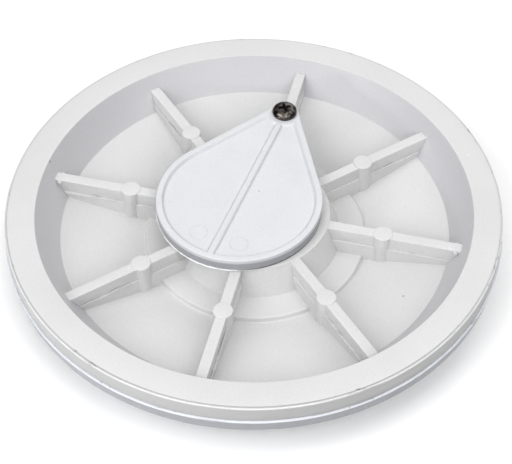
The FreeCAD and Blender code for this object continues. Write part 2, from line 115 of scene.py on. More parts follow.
class Bench:
    """Modelling steps made with Blender's own operators."""

    @staticmethod
    def clear() -> None:
        """Deselect every object."""
        bpy.ops.object.select_all(action="DESELECT")

    @staticmethod
    def pick(obj: bpy.types.Object, *others: bpy.types.Object) -> None:
        """Select objects and make the first one active.

        Args:
            obj: The object to make active.
            others: More objects to select with it.
        """
        Bench.clear()
        for item in (*others, obj):
            item.select_set(True)
        bpy.context.view_layer.objects.active = obj

    @staticmethod
    def outline(name: str, points: Sequence[Vector]) -> bpy.types.Object:
        """Start a mesh as a closed wire through some points.

        Args:
            name: Name of the new object.
            points: The wire's points in order.

        Returns:
            The new object.
        """
        Bench.clear()
        bpy.ops.mesh.primitive_circle_add(vertices=len(points), radius=MM)
        obj = bpy.context.object
        obj.name = name
        for vertex, point in zip(obj.data.vertices, points):
            vertex.co = point
        return obj

    @staticmethod
    def section(name: str, corners: Sequence[Corner]) -> bpy.types.Object:
        """A closed wire in the XZ plane with rounded corners.

        Args:
            name: Name of the new object.
            corners: The section's corners in order.

        Returns:
            The new object.
        """
        obj = Bench.outline(name, [Vector((c.across, 0, c.height)) for c in corners])
        for corner in corners:
            if corner.radius > 0:
                Bench.round_corner(obj, corner)
        return obj

    @staticmethod
    def round_corner(obj: bpy.types.Object, corner: Corner) -> None:
        """Round one corner of a wire section.

        Args:
            obj: The wire.
            corner: The corner to round.
        """
        place = Vector((corner.across, 0, corner.height))
        before = next(v for v in obj.data.vertices if (v.co - place).length < PLACE_SLACK)
        arms = [edge for edge in obj.data.edges if before.index in edge.vertices]
        tips = [next(index for index in edge.vertices if index != before.index) for edge in arms]
        ends = [obj.data.vertices[index].co for index in tips]
        opening = (ends[0] - place).angle(ends[1] - place)
        reach = corner.radius / math.tan(opening / 2)
        Bench.select(obj, "VERT", lambda point, normal: (point - place).length < PLACE_SLACK)
        bpy.ops.mesh.bevel(offset=reach, offset_type="OFFSET", segments=ROUND_STEPS, affect="VERTICES",
                           clamp_overlap=False)
        bpy.ops.object.mode_set(mode="OBJECT")

    @staticmethod
    def select(obj: bpy.types.Object, mode: str, test: Callable[[Vector, Vector], bool]) -> int:
        """Enter edit mode with some of a mesh's elements selected.

        Args:
            obj: The object to edit.
            mode: VERT, EDGE or FACE.
            test: Takes an element's middle, and its direction or normal, and says whether to select it.

        Returns:
            How many elements are selected.
        """
        Bench.pick(obj)
        bpy.ops.object.mode_set(mode="EDIT")
        bpy.ops.mesh.select_mode(type=mode)
        bpy.ops.mesh.select_all(action="DESELECT")
        bpy.ops.object.mode_set(mode="OBJECT")
        count = 0
        mesh = obj.data
        if mode == "VERT":
            items = [(v, v.co, v.normal) for v in mesh.vertices]
        elif mode == "EDGE":
            ends = [(e, mesh.vertices[e.vertices[0]].co, mesh.vertices[e.vertices[1]].co) for e in mesh.edges]
            items = [(e, (a + b) / 2, (b - a).normalized()) for e, a, b in ends]
        else:
            items = [(p, p.center, p.normal) for p in mesh.polygons]
        for item, middle, normal in items:
            if test(middle.copy(), normal.copy()):
                item.select = True
                count += 1
        bpy.ops.object.mode_set(mode="EDIT")
        return count

    @staticmethod
    def spin(obj: bpy.types.Object, steps: int = SHELL_STEPS) -> bpy.types.Object:
        """Turn a wire section once round the Z axis into a closed solid.

        Args:
            obj: The wire section.
            steps: Segments round the axis.

        Returns:
            The same object.
        """
        Bench.pick(obj)
        bpy.ops.object.mode_set(mode="EDIT")
        bpy.ops.mesh.select_all(action="SELECT")
        bpy.ops.mesh.spin(steps=steps, angle=FULL_TURN, center=(0, 0, 0), axis=(0, 0, 1))
        bpy.ops.mesh.select_all(action="SELECT")
        bpy.ops.mesh.remove_doubles(threshold=PLACE_SLACK)
        bpy.ops.mesh.normals_make_consistent(inside=False)
        bpy.ops.object.mode_set(mode="OBJECT")
        return obj

    @staticmethod
    def thicken(obj: bpy.types.Object, step: Vector) -> bpy.types.Object:
        """Fill a closed wire and extrude it into a solid.

        Args:
            obj: The wire.
            step: Direction and length of the extrusion.

        Returns:
            The same object.
        """
        Bench.pick(obj)
        bpy.ops.object.mode_set(mode="EDIT")
        bpy.ops.mesh.select_all(action="SELECT")
        bpy.ops.mesh.edge_face_add()
        bpy.ops.mesh.extrude_region_move(TRANSFORM_OT_translate={"value": tuple(step)})
        bpy.ops.mesh.select_all(action="SELECT")
        bpy.ops.mesh.normals_make_consistent(inside=False)
        bpy.ops.object.mode_set(mode="OBJECT")
        return obj

    @staticmethod
    def round_edges(obj: bpy.types.Object, width: float, test: Callable[[Vector, Vector], bool],
                    segments: int = FINE_ROUND_STEPS) -> None:
        """Bevel the edges that pass a test.

        Args:
            obj: The object to edit.
            width: Width of the bevel.
            test: Takes an edge's middle and direction.
            segments: Segments across the bevel.
        """
        count = Bench.select(obj, "EDGE", test)
        if count == 0:
            bpy.ops.object.mode_set(mode="OBJECT")
            raise ValueError(f"no edge of {obj.name} to round")
        bpy.ops.mesh.bevel(offset=width, segments=segments, affect="EDGES", clamp_overlap=True)
        bpy.ops.object.mode_set(mode="OBJECT")

    @staticmethod
    def combine(obj: bpy.types.Object, tool: bpy.types.Object, how: Cut) -> bpy.types.Object:
        """Add one solid to another, cut it away or keep only what lies inside it, and delete the tool.

        Args:
            obj: The solid that is worked on.
            tool: The solid that it is combined with.
            how: Which of the three.

        Returns:
            The same object.
        """
        Bench.pick(obj)
        modifier = obj.modifiers.new("combine", "BOOLEAN")
        modifier.object = tool
        modifier.operation = how.value
        modifier.solver = "EXACT"
        bpy.ops.object.modifier_apply(modifier=modifier.name)
        bpy.data.objects.remove(tool)
        return obj

    @staticmethod
    def cone(name: str, foot_radius: float, top_radius: float, foot: Vector, height: float,
             sides: int = 64) -> bpy.types.Object:
        """A solid cone or cylinder standing on a point, with its place in its mesh.

        Args:
            name: Name of the new object.
            foot_radius: Radius at the foot.
            top_radius: Radius at the top.
            foot: Middle of the foot.
            height: Height above the foot.
            sides: Segments round it.

        Returns:
            The new object.
        """
        Bench.clear()
        middle = foot + Vector((0, 0, height / 2))
        bpy.ops.mesh.primitive_cone_add(vertices=sides, radius1=foot_radius, radius2=top_radius, depth=height,
                                        location=middle)
        obj = bpy.context.object
        obj.name = name
        bpy.ops.object.transform_apply(location=True, rotation=True, scale=True)
        return obj

    @staticmethod
    def turned_copy(obj: bpy.types.Object, angle: float, centre: Vector = ORIGIN) -> bpy.types.Object:
        """A copy of an object, with its own mesh, turned about a vertical axis.

        Args:
            obj: The object to copy.
            angle: Turn, counter-clockwise from above.
            centre: A point on the axis.

        Returns:
            The copy.
        """
        Bench.pick(obj)
        bpy.ops.object.duplicate()
        copy = bpy.context.object
        Bench.turn(copy, angle, centre)
        return copy

    @staticmethod
    def turn(obj: bpy.types.Object, angle: float, centre: Vector = ORIGIN) -> None:
        """Turn an object's mesh about a vertical axis.

        Args:
            obj: The object, which sits at the origin before and after.
            angle: Turn, counter-clockwise from above.
            centre: A point on the axis.
        """
        Bench.pick(obj)
        swung = Vector((centre.x * math.cos(angle) - centre.y * math.sin(angle),
                        centre.x * math.sin(angle) + centre.y * math.cos(angle), 0))
        obj.rotation_euler = (0, 0, angle)
        obj.location = Vector((centre.x, centre.y, 0)) - swung
        bpy.ops.object.transform_apply(location=True, rotation=True, scale=True)

    @staticmethod
    def stand(obj: bpy.types.Object, place: Vector) -> None:
        """Move an object's mesh by a step and leave the object at the origin.

        Args:
            obj: The object.
            place: The step.
        """
        Bench.pick(obj)
        obj.location = place
        bpy.ops.object.transform_apply(location=True, rotation=True, scale=True)

    @staticmethod
    def finish(obj: bpy.types.Object, material: bpy.types.Material, angle: float = SMOOTH_ANGLE) -> None:
        """Clean a finished mesh, smooth its rounded faces and give it its finish.

        Args:
            obj: The piece.
            material: Its finish.
            angle: Sharpest turn between faces that still shades smooth.
        """
        Bench.pick(obj)
        bpy.ops.object.mode_set(mode="EDIT")
        bpy.ops.mesh.select_mode(type="VERT")
        bpy.ops.mesh.select_all(action="SELECT")
        bpy.ops.mesh.remove_doubles(threshold=PLACE_SLACK)
        bpy.ops.mesh.delete_loose()
        bpy.ops.mesh.select_all(action="SELECT")
        bpy.ops.mesh.normals_make_consistent(inside=False)
        bpy.ops.object.mode_set(mode="OBJECT")
        bpy.ops.object.shade_smooth_by_angle(angle=angle)
        obj.data.name = obj.name
        obj.data.materials.clear()
        obj.data.materials.append(material)


# ---------------------------------------------------------------------------------------------
# Shader: expressions that add their own nodes
# ---------------------------------------------------------------------------------------------
Number = Union[float, "Value"]


class Value:
    """A shader value. Arithmetic on it adds the Math nodes that work it out."""

    def __init__(self, shader: "Shader", socket: bpy.types.NodeSocket) -> None:
        """Wrap a socket of a shader."""
        self.shader = shader
        self.socket = socket

    def __add__(self, other: Number) -> "Value":
        """Sum of two values."""
        return self.shader.math("ADD", self, other)

    def __sub__(self, other: Number) -> "Value":
        """Difference of two values."""
        return self.shader.math("SUBTRACT", self, other)

    def __mul__(self, other: Number) -> "Value":
        """Product of two values."""
        return self.shader.math("MULTIPLY", self, other)

    def __rsub__(self, other: float) -> "Value":
        """A number less this value."""
        return self.shader.math("SUBTRACT", other, self)

    __radd__ = __add__
    __rmul__ = __mul__

    def __gt__(self, other: Number) -> "Value":
        """1 where this value is the greater, else 0."""
        return self.shader.math("GREATER_THAN", self, other)

    def fade(self, start: float, end: float) -> "Value":
        """0 at start and 1 at end, smooth between them and held beyond.

        Args:
            start: Value that gives 0.
            end: Value that gives 1, which may be the smaller.

        Returns:
            The faded value.
        """
        return self.shader.fade(self, start, end)


class Shader:
    """One material's node tree, ending in a Principled BSDF."""

    def __init__(self, name: str) -> None:
        """Start an empty node material.

        Args:
            name: Name of the material.
        """
        self.material = bpy.data.materials.new(name)
        self.material.use_nodes = True
        self.tree = self.material.node_tree
        self.tree.nodes.clear()
        self.principled = self.tree.nodes.new("ShaderNodeBsdfPrincipled")
        output = self.tree.nodes.new("ShaderNodeOutputMaterial")
        self.tree.links.new(self.principled.outputs["BSDF"], output.inputs["Surface"])
        self.place = self.node("ShaderNodeTexCoord").outputs["Object"]
        split = self.node("ShaderNodeSeparateXYZ", inputs={"Vector": self.place})
        self.x, self.y, self.z = (Value(self, split.outputs[axis]) for axis in "XYZ")
        self.reach = self.math("SQRT", self.x * self.x + self.y * self.y)
        self.bearing = self.math("ARCTAN2", self.y, self.x)

    def node(self, kind: str, settings: dict | None = None, inputs: dict | None = None) -> bpy.types.Node:
        """Add a node.

        Args:
            kind: The node's type.
            settings: Properties to set first, such as a Math node's operation.
            inputs: Numbers, sockets or Values by input name or number.

        Returns:
            The node.
        """
        node = self.tree.nodes.new(kind)
        for name, value in (settings or {}).items():
            setattr(node, name, value)
        for name, value in (inputs or {}).items():
            self.feed(node.inputs[name], value)
        return node

    def feed(self, target: bpy.types.NodeSocket, value: object) -> None:
        """Link a socket or a Value to an input, or set the input to a constant.

        Args:
            target: The input.
            value: What it is fed.
        """
        if isinstance(value, Value):
            self.tree.links.new(value.socket, target)
        elif isinstance(value, bpy.types.NodeSocket):
            self.tree.links.new(value, target)
        else:
            target.default_value = value

    def math(self, operation: str, *values: Number) -> Value:
        """A Math node.

        Args:
            operation: What the node does.
            values: Its inputs.

        Returns:
            The result.
        """
        node = self.node("ShaderNodeMath", {"operation": operation}, dict(enumerate(values)))
        return Value(self, node.outputs[0])

    def fade(self, value: Value, start: float, end: float) -> Value:
        """0 at start and 1 at end, smooth between them and held beyond."""
        node = self.node("ShaderNodeMapRange", {"interpolation_type": "SMOOTHSTEP"},
                         {"Value": value, "From Min": start, "From Max": end})
        return Value(self, node.outputs["Result"])

    def band(self, value: Value, middle: float, half: float, soft: float) -> Value:
        """1 in a band of a value and 0 outside it.

        Args:
            value: The value.
            middle: Middle of the band.
            half: Half its width.
            soft: Width over which each side fades.

        Returns:
            The mask.
        """
        off = self.math("ABSOLUTE", value - middle)
        return off.fade(half + soft, half)

    def stretched(self, x: float, y: float, z: float) -> bpy.types.NodeSocket:
        """The place on the piece with each axis stretched by its own factor."""
        node = self.node("ShaderNodeMapping", inputs={"Vector": self.place, "Scale": (x, y, z)})
        return node.outputs["Vector"]

    def round_place(self, across: float, along: float, up: float) -> bpy.types.NodeSocket:
        """Place measured round the disc's axis, for marks that run round it.

        Args:
            across: Factor on the distance from the axis.
            along: Factor on the bearing.
            up: Factor on the height.

        Returns:
            A vector of those three.
        """
        node = self.node("ShaderNodeCombineXYZ",
                         inputs={"X": self.reach * across, "Y": self.bearing * along, "Z": self.z * up})
        return node.outputs["Vector"]

    def noise(self, scale: float, detail: float = 2.0, rough: float = 0.5, place: object = None,
              warp: float = 0.0) -> Value:
        """Noise from 0 to 1.

        Args:
            scale: Waves per metre.
            detail: Octaves.
            rough: Weight of the finer octaves.
            place: Where it is read, or None for the place on the piece.
            warp: Distortion.

        Returns:
            The noise.
        """
        node = self.node("ShaderNodeTexNoise", inputs={
            "Vector": place or self.place, "Scale": scale, "Detail": detail, "Roughness": rough,
            "Distortion": warp})
        return Value(self, node.outputs[0])

    def specks(self, scale: float, size: float, share: float, place: object = None) -> Value:
        """Sparse round specks: 1 inside one, 0 elsewhere.

        Args:
            scale: Cells per metre.
            size: Radius of a speck as a share of its cell.
            share: Share of the cells that hold one.
            place: Where they are read, or None for the place on the piece.

        Returns:
            The mask.
        """
        cells = self.node("ShaderNodeTexVoronoi", {"feature": "F1"},
                          {"Vector": place or self.place, "Scale": scale, "Randomness": 1.0})
        lot = self.node("ShaderNodeSeparateColor", inputs={"Color": cells.outputs["Color"]})
        chosen = Value(self, lot.outputs["Red"]) > 1 - share
        ragged = Value(self, cells.outputs["Distance"]) + (self.noise(scale * 4, 1.0) - 0.5) * size
        return chosen * ragged.fade(size, size * 0.6)

    def blend(self, factor: Number, low: object, high: object) -> bpy.types.NodeSocket:
        """A colour between two colours.

        Args:
            factor: 0 gives the first, 1 the second.
            low: The first colour.
            high: The second colour.

        Returns:
            The blended colour.
        """
        node = self.node("ShaderNodeMix", {"data_type": "RGBA"}, {"Factor": factor})
        colours = [socket for socket in node.inputs if socket.type == "RGBA"]
        self.feed(colours[0], low)
        self.feed(colours[1], high)
        return next(socket for socket in node.outputs if socket.type == "RGBA")

    def bump(self, height: Value, depth: float, before: object = None) -> bpy.types.NodeSocket:
        """Surface relief.

        Args:
            height: Height from 0 to 1.
            depth: Depth of the relief in metres.
            before: An earlier bump to add to.

        Returns:
            The normal.
        """
        inputs = {"Height": height, "Distance": depth, "Strength": 1.0}
        if before is not None:
            inputs["Normal"] = before
        return self.node("ShaderNodeBump", inputs=inputs).outputs["Normal"]

    def surface(self, **sockets: object) -> bpy.types.Material:
        """Feed the Principled BSDF and hand over the material.

        Args:
            sockets: Values by input name, with underscores for spaces.

        Returns:
            The material.
        """
        for name, value in sockets.items():
            self.feed(self.principled.inputs[name.replace("_", " ")], value)
        return self.material


# ---------------------------------------------------------------------------------------------
# Finishes
# ---------------------------------------------------------------------------------------------
Colour = tuple[float, float, float, float]
VIOLET_CAST = (0.875, 0.87, 0.90)
MOTTLE_SCALE = 1500
MOTTLE_STRENGTH = 0.07
WALL_FADE = 0.4 * MM
RECESS_DARK = (0.006, 0.005, 0.004, 1.0)
PLASTIC_IOR = 1.5


def grey(level: float, blue: float = 0.0) -> Colour:
    """A grey, or with blue above 0 a cooler one."""
    return (level - blue, level - blue * 0.5, level + blue, 1.0)


def shade(colour: Colour, factor: float) -> Colour:
    """A colour made darker or brighter by a factor."""
    return tuple(min(1.0, part * factor) for part in colour[:3]) + (1.0,)


def cool(colour: Colour) -> Colour:
    """A colour with a slight violet cast."""
    return tuple(part * cast for part, cast in zip(colour, VIOLET_CAST)) + (1.0,)


@dataclass(frozen=True)
class ShellPlastic:
    """Moulded white plastic of the two shells.

    Attributes:
        name: Name of the material.
        base: Its clean colour.
        roughness: Its roughness where clean.
        edge_reach: Distance from the axis of the outer edge that is chipped and dirty, where the outer side's
            painted shade begins.
        edge_height: Height of that edge.
        wear: How much of the edge is marked, from 0 to 1.
        side_shade_tone: Brightness of the outer side against the rest, painted shade that is darker still
            towards +X.
        lip_highlight_tone: Brightness of the painted highlight along the top of that side.
        step_shade_reach: Radius of the corner of the rim's step, darkened as painted shade, or 0 for none.
        strip_shade: Painted shade on the strip outside that step, from 0 to 1.
        wall_foot: Radius and height of the foot of the glossier, cooler wall, or zeros for none.
        wall_head: Radius and height of that wall's head.
        dark_tone: Brightness of its dirt against its clean colour.
    """

    name: str
    base: Colour
    roughness: float
    edge_reach: float
    edge_height: float
    wear: float
    side_shade_tone: float = 1.0
    lip_highlight_tone: float = 1.0
    step_shade_reach: float = 0.0
    strip_shade: float = 0.0
    wall_foot: tuple[float, float] = (0.0, 0.0)
    wall_head: tuple[float, float] = (0.0, 0.0)
    dark_tone: float = 0.30

    def build(self) -> bpy.types.Material:
        """Build the material.

        Returns:
            The material.
        """
        s = Shader(self.name)
        cloudy = s.noise(28, 3.0, 0.55)
        streak = s.noise(1.0, 3.0, 0.6, s.round_place(2200, 3.0, 600))
        grain = s.noise(2600, 2.0)
        smudge = s.noise(65, 4.0, 0.65, warp=0.6).fade(0.60, 0.74)
        mark = self.edge_mark(s)
        wall = self.wall_mask(s)
        dark = shade(self.base, self.dark_tone)
        dull = shade(self.base, 0.965)
        colour = s.blend(cloudy.fade(0.35, 0.7), self.base, dull)
        colour = s.blend(smudge * 0.35, colour, dull)
        colour = s.blend(s.specks(95, 0.10, 0.06) * 0.6, colour, shade(self.base, 1.06))
        colour = s.blend(wall, colour, cool(self.base))
        colour = self.paint_side_light(s, colour, streak)
        mottle = s.noise(MOTTLE_SCALE, 1.0).fade(0.30, 0.70)
        colour = s.blend(mottle * MOTTLE_STRENGTH, colour, shade(self.base, 0.4))
        colour = s.blend(s.specks(150, 0.09, 0.10) * 0.55, colour, dark)
        colour = s.blend(mark * 0.75, colour, dark)
        normal = s.bump(grain * (1 - wall * 0.8), 0.011 * MM)
        normal = s.bump(streak * (1 - wall * 0.9), 0.008 * MM, normal)
        normal = s.bump(cloudy, 0.05 * MM, normal)
        normal = s.bump(1 - mark, 0.12 * MM, normal)
        gloss = self.roughness + (streak - 0.5) * 0.10 + smudge * 0.12 + mark * 0.3
        return s.surface(Base_Color=colour, Roughness=gloss, Normal=normal, IOR=PLASTIC_IOR,
                         Subsurface_Weight=0.0, Specular_IOR_Level=0.5)

    def edge_mark(self, s: Shader) -> Value:
        """1 where the outer edge is chipped and dirty.

        Args:
            s: The material's shader.

        Returns:
            The mask.
        """
        near_edge = s.band(s.reach, self.edge_reach, 0.6 * MM, 0.6 * MM)
        near_edge = near_edge * s.band(s.z, self.edge_height, 0.7 * MM, 0.5 * MM)
        chips = s.noise(1.0, 4.0, 0.7, s.round_place(700, 26.0, 500)).fade(0.62 - 0.06 * self.wear, 0.68)
        rub = s.noise(1.0, 3.0, 0.6, s.round_place(250, 5.0, 200)).fade(0.42, 0.62)
        return near_edge * chips * rub * self.wear

    def wall_mask(self, s: Shader) -> Value:
        """1 on the glossier, cooler conical wall.

        Args:
            s: The material's shader.

        Returns:
            The mask.
        """
        foot, head = self.wall_foot, self.wall_head
        lean = (head[0] - foot[0]) / max(head[1] - foot[1], MM)
        wall = s.band(s.reach - (s.z - foot[1]) * lean, foot[0], 0.25 * MM, 0.15 * MM)
        return wall * s.z.fade(foot[1], foot[1] + WALL_FADE) * s.z.fade(head[1], head[1] - WALL_FADE)

    def rim_mask(self, s: Shader) -> Value:
        """1 near the rim's top, down to the depth that the painted shade of the step and strip reaches."""
        return s.z.fade(self.edge_height - 0.8 * MM, self.edge_height - 0.3 * MM)

    def paint_side_light(self, s: Shader, colour: bpy.types.NodeSocket, streak: Value) -> bpy.types.NodeSocket:
        """Paint shade on the outer side, darker towards +X, a ragged highlight along its top, and shade on
        the strip above it and in the corner of the rim's step.

        Args:
            s: The material's shader.
            colour: The colour so far.
            streak: Fine streaks that run round the piece.

        Returns:
            The weathered colour.
        """
        # Painted shade: the outer side is darker than the rest, and darker still towards +X.
        side = s.reach.fade(self.edge_reach - 0.25 * MM, self.edge_reach + 0.1 * MM)
        darker = s.x.fade(-50 * MM, 60 * MM)
        left_tone = shade(self.base, self.side_shade_tone)
        right_tone = shade(self.base, self.side_shade_tone * 0.84)
        colour = s.blend(side, colour, s.blend(darker, left_tone, right_tone))
        # Painted highlight: a ragged pale line along the top of the outer side.
        lip = side * s.z.fade(self.edge_height - 0.65 * MM, self.edge_height - 0.35 * MM)
        colour = s.blend(lip * streak.fade(0.3, 0.45), colour, shade(self.base, self.lip_highlight_tone))
        # Painted shade: the strip outside the rim's step is darkened.
        strip = s.reach.fade(self.step_shade_reach, self.step_shade_reach + 0.2 * MM) * (1 - side)
        strip = strip * self.rim_mask(s)
        colour = s.blend(strip * self.strip_shade, colour, shade(self.base, 0.75))
        # Painted shade: a dark line in the corner of the rim's step, stronger towards -Y.
        step_shade = s.band(s.reach, self.step_shade_reach, 0.10 * MM, 0.10 * MM) * self.rim_mask(s)
        step_shade = step_shade * (0.15 + s.y.fade(20 * MM, -70 * MM) * 0.35) * (0.5 + streak)
        return s.blend(step_shade, colour, shade(self.base, 0.42))


@dataclass(frozen=True)
class FlapPlastic:
    """Cooler white plastic of the flap, satin on its plate.

    Attributes:
        name: Name of the material.
        base: Its clean colour.
        roughness: Its roughness where clean.
        gap_shade_height: Height below which its free right side is darkened, painted shadow of the gap under
            it.
        side_height: Height of the middle of the fade from its top to its side, which is darkened as painted
            shade.
        skirt_shade_tone: Brightness of that painted shade on the side against the top.
    """

    name: str
    base: Colour
    roughness: float
    gap_shade_height: float = 0.0
    side_height: float = 0.0
    skirt_shade_tone: float = 0.66

    def build(self) -> bpy.types.Material:
        """Build the material.

        Returns:
            The material.
        """
        s = Shader(self.name)
        cloudy = s.noise(60, 3.0, 0.55)
        grain = s.noise(3200, 2.0)
        fine = s.noise(1.0, 3.0, 0.6, s.stretched(1500, 260, 800))
        scratch = s.noise(1.0, 2.0, 0.5, s.stretched(420, 3400, 900), warp=0.3).fade(0.66, 0.72)
        speck = s.specks(230, 0.10, 0.07)
        dull = shade(self.base, 0.97)
        dark = shade(self.base, 0.45)
        colour = s.blend(cloudy.fade(0.35, 0.7), self.base, dull)
        colour = s.blend(scratch * 0.25, colour, dull)
        colour = s.blend(speck * 0.5, colour, dark)
        # Painted shade: the flap's side is darker and cooler than its top.
        skirt_shade = s.z.fade(self.side_height + 0.35 * MM, self.side_height - 0.45 * MM)
        colour = s.blend(skirt_shade, colour, shade(cool(self.base), self.skirt_shade_tone))
        mottle = s.noise(MOTTLE_SCALE, 1.0).fade(0.30, 0.70)
        colour = s.blend(mottle * MOTTLE_STRENGTH, colour, dark)
        # Painted shadow: a ragged dark line low on the flap's right side, in the gap under it.
        ragged = s.noise(420, 3.0, 0.6)
        gap_shade = (s.z + (ragged - 0.5) * 0.9 * MM).fade(self.gap_shade_height + 0.1 * MM, self.gap_shade_height - 0.1 * MM)
        colour = s.blend(gap_shade * s.x.fade(2 * MM, 10 * MM) * 0.9, colour, shade(self.base, 0.14))
        normal = s.bump(grain, 0.008 * MM)
        normal = s.bump(fine, 0.008 * MM, normal)
        normal = s.bump(1 - scratch, 0.012 * MM, normal)
        gloss = self.roughness + (cloudy - 0.5) * 0.14 + scratch * 0.15
        return s.surface(Base_Color=colour, Roughness=gloss, Normal=normal, IOR=PLASTIC_IOR)


@dataclass(frozen=True)
class ScrewSteel:
    """Weathered stainless steel of the pivot screw.

    Attributes:
        name: Name of the material.
        clean: Colour of the bare steel.
        stain: Colour of its stain.
        axis: A point on the screw's axis.
        recess_reach: Half the span of the cross recess.
        recess_floor: Height below which the recess is darker.
    """

    name: str
    clean: Colour
    stain: Colour
    axis: Vector
    recess_reach: float
    recess_floor: float

    def build(self) -> bpy.types.Material:
        """Build the material.

        Returns:
            The material.
        """
        s = Shader(self.name)
        dx, dy = s.x - self.axis.x, s.y - self.axis.y
        reach = s.math("SQRT", dx * dx + dy * dy)
        turning = s.node("ShaderNodeCombineXYZ", inputs={"X": reach * 5200, "Y": 0.0, "Z": s.z * 5200})
        lathe = s.noise(1.0, 3.0, 0.6, turning.outputs["Vector"])
        blotch = s.noise(520, 4.0, 0.65)
        # Near black, duller and less metallic in the cross recess.
        recess_mask = reach.fade(self.recess_reach, self.recess_reach * 0.9) * s.z.fade(
            self.recess_floor + 0.5 * MM, self.recess_floor - 0.2 * MM)
        colour = s.blend(blotch.fade(0.40, 0.66), self.clean, self.stain)
        colour = s.blend(recess_mask * 0.9, colour, RECESS_DARK)
        normal = s.bump(lathe, 0.008 * MM)
        normal = s.bump(blotch, 0.012 * MM, normal)
        gloss = 0.15 + blotch * 0.18 + recess_mask * 0.4
        metal = 1 - recess_mask * 0.7
        return s.surface(Base_Color=colour, Roughness=gloss, Metallic=metal, Normal=normal)


@dataclass(frozen=True)
class StudioFloor:
    """Pale floor that the disc lies on."""

    name: str = "studio_floor"
    base: Colour = (0.93, 0.93, 0.93, 1.0)

    def build(self) -> bpy.types.Material:
        """Build the material.

        Returns:
            The material.
        """
        s = Shader(self.name)
        drift = s.noise(3.0, 2.0)
        colour = s.blend(drift, self.base, shade(self.base, 0.99))
        return s.surface(Base_Color=colour, Roughness=0.9)


# ---------------------------------------------------------------------------------------------
# Sub-assemblies
# ---------------------------------------------------------------------------------------------
@dataclass(frozen=True)
class Weld:
    """Where a weld mark runs and how strong it is.

    Attributes:
        rib: Number of its rib, counted counter-clockwise from +X.
        side: 1 for the rib's left side seen from the hub, -1 for its right side.
        strength: Its size, about 1 for an ordinary one.
    """

    rib: int
    side: int
    strength: float


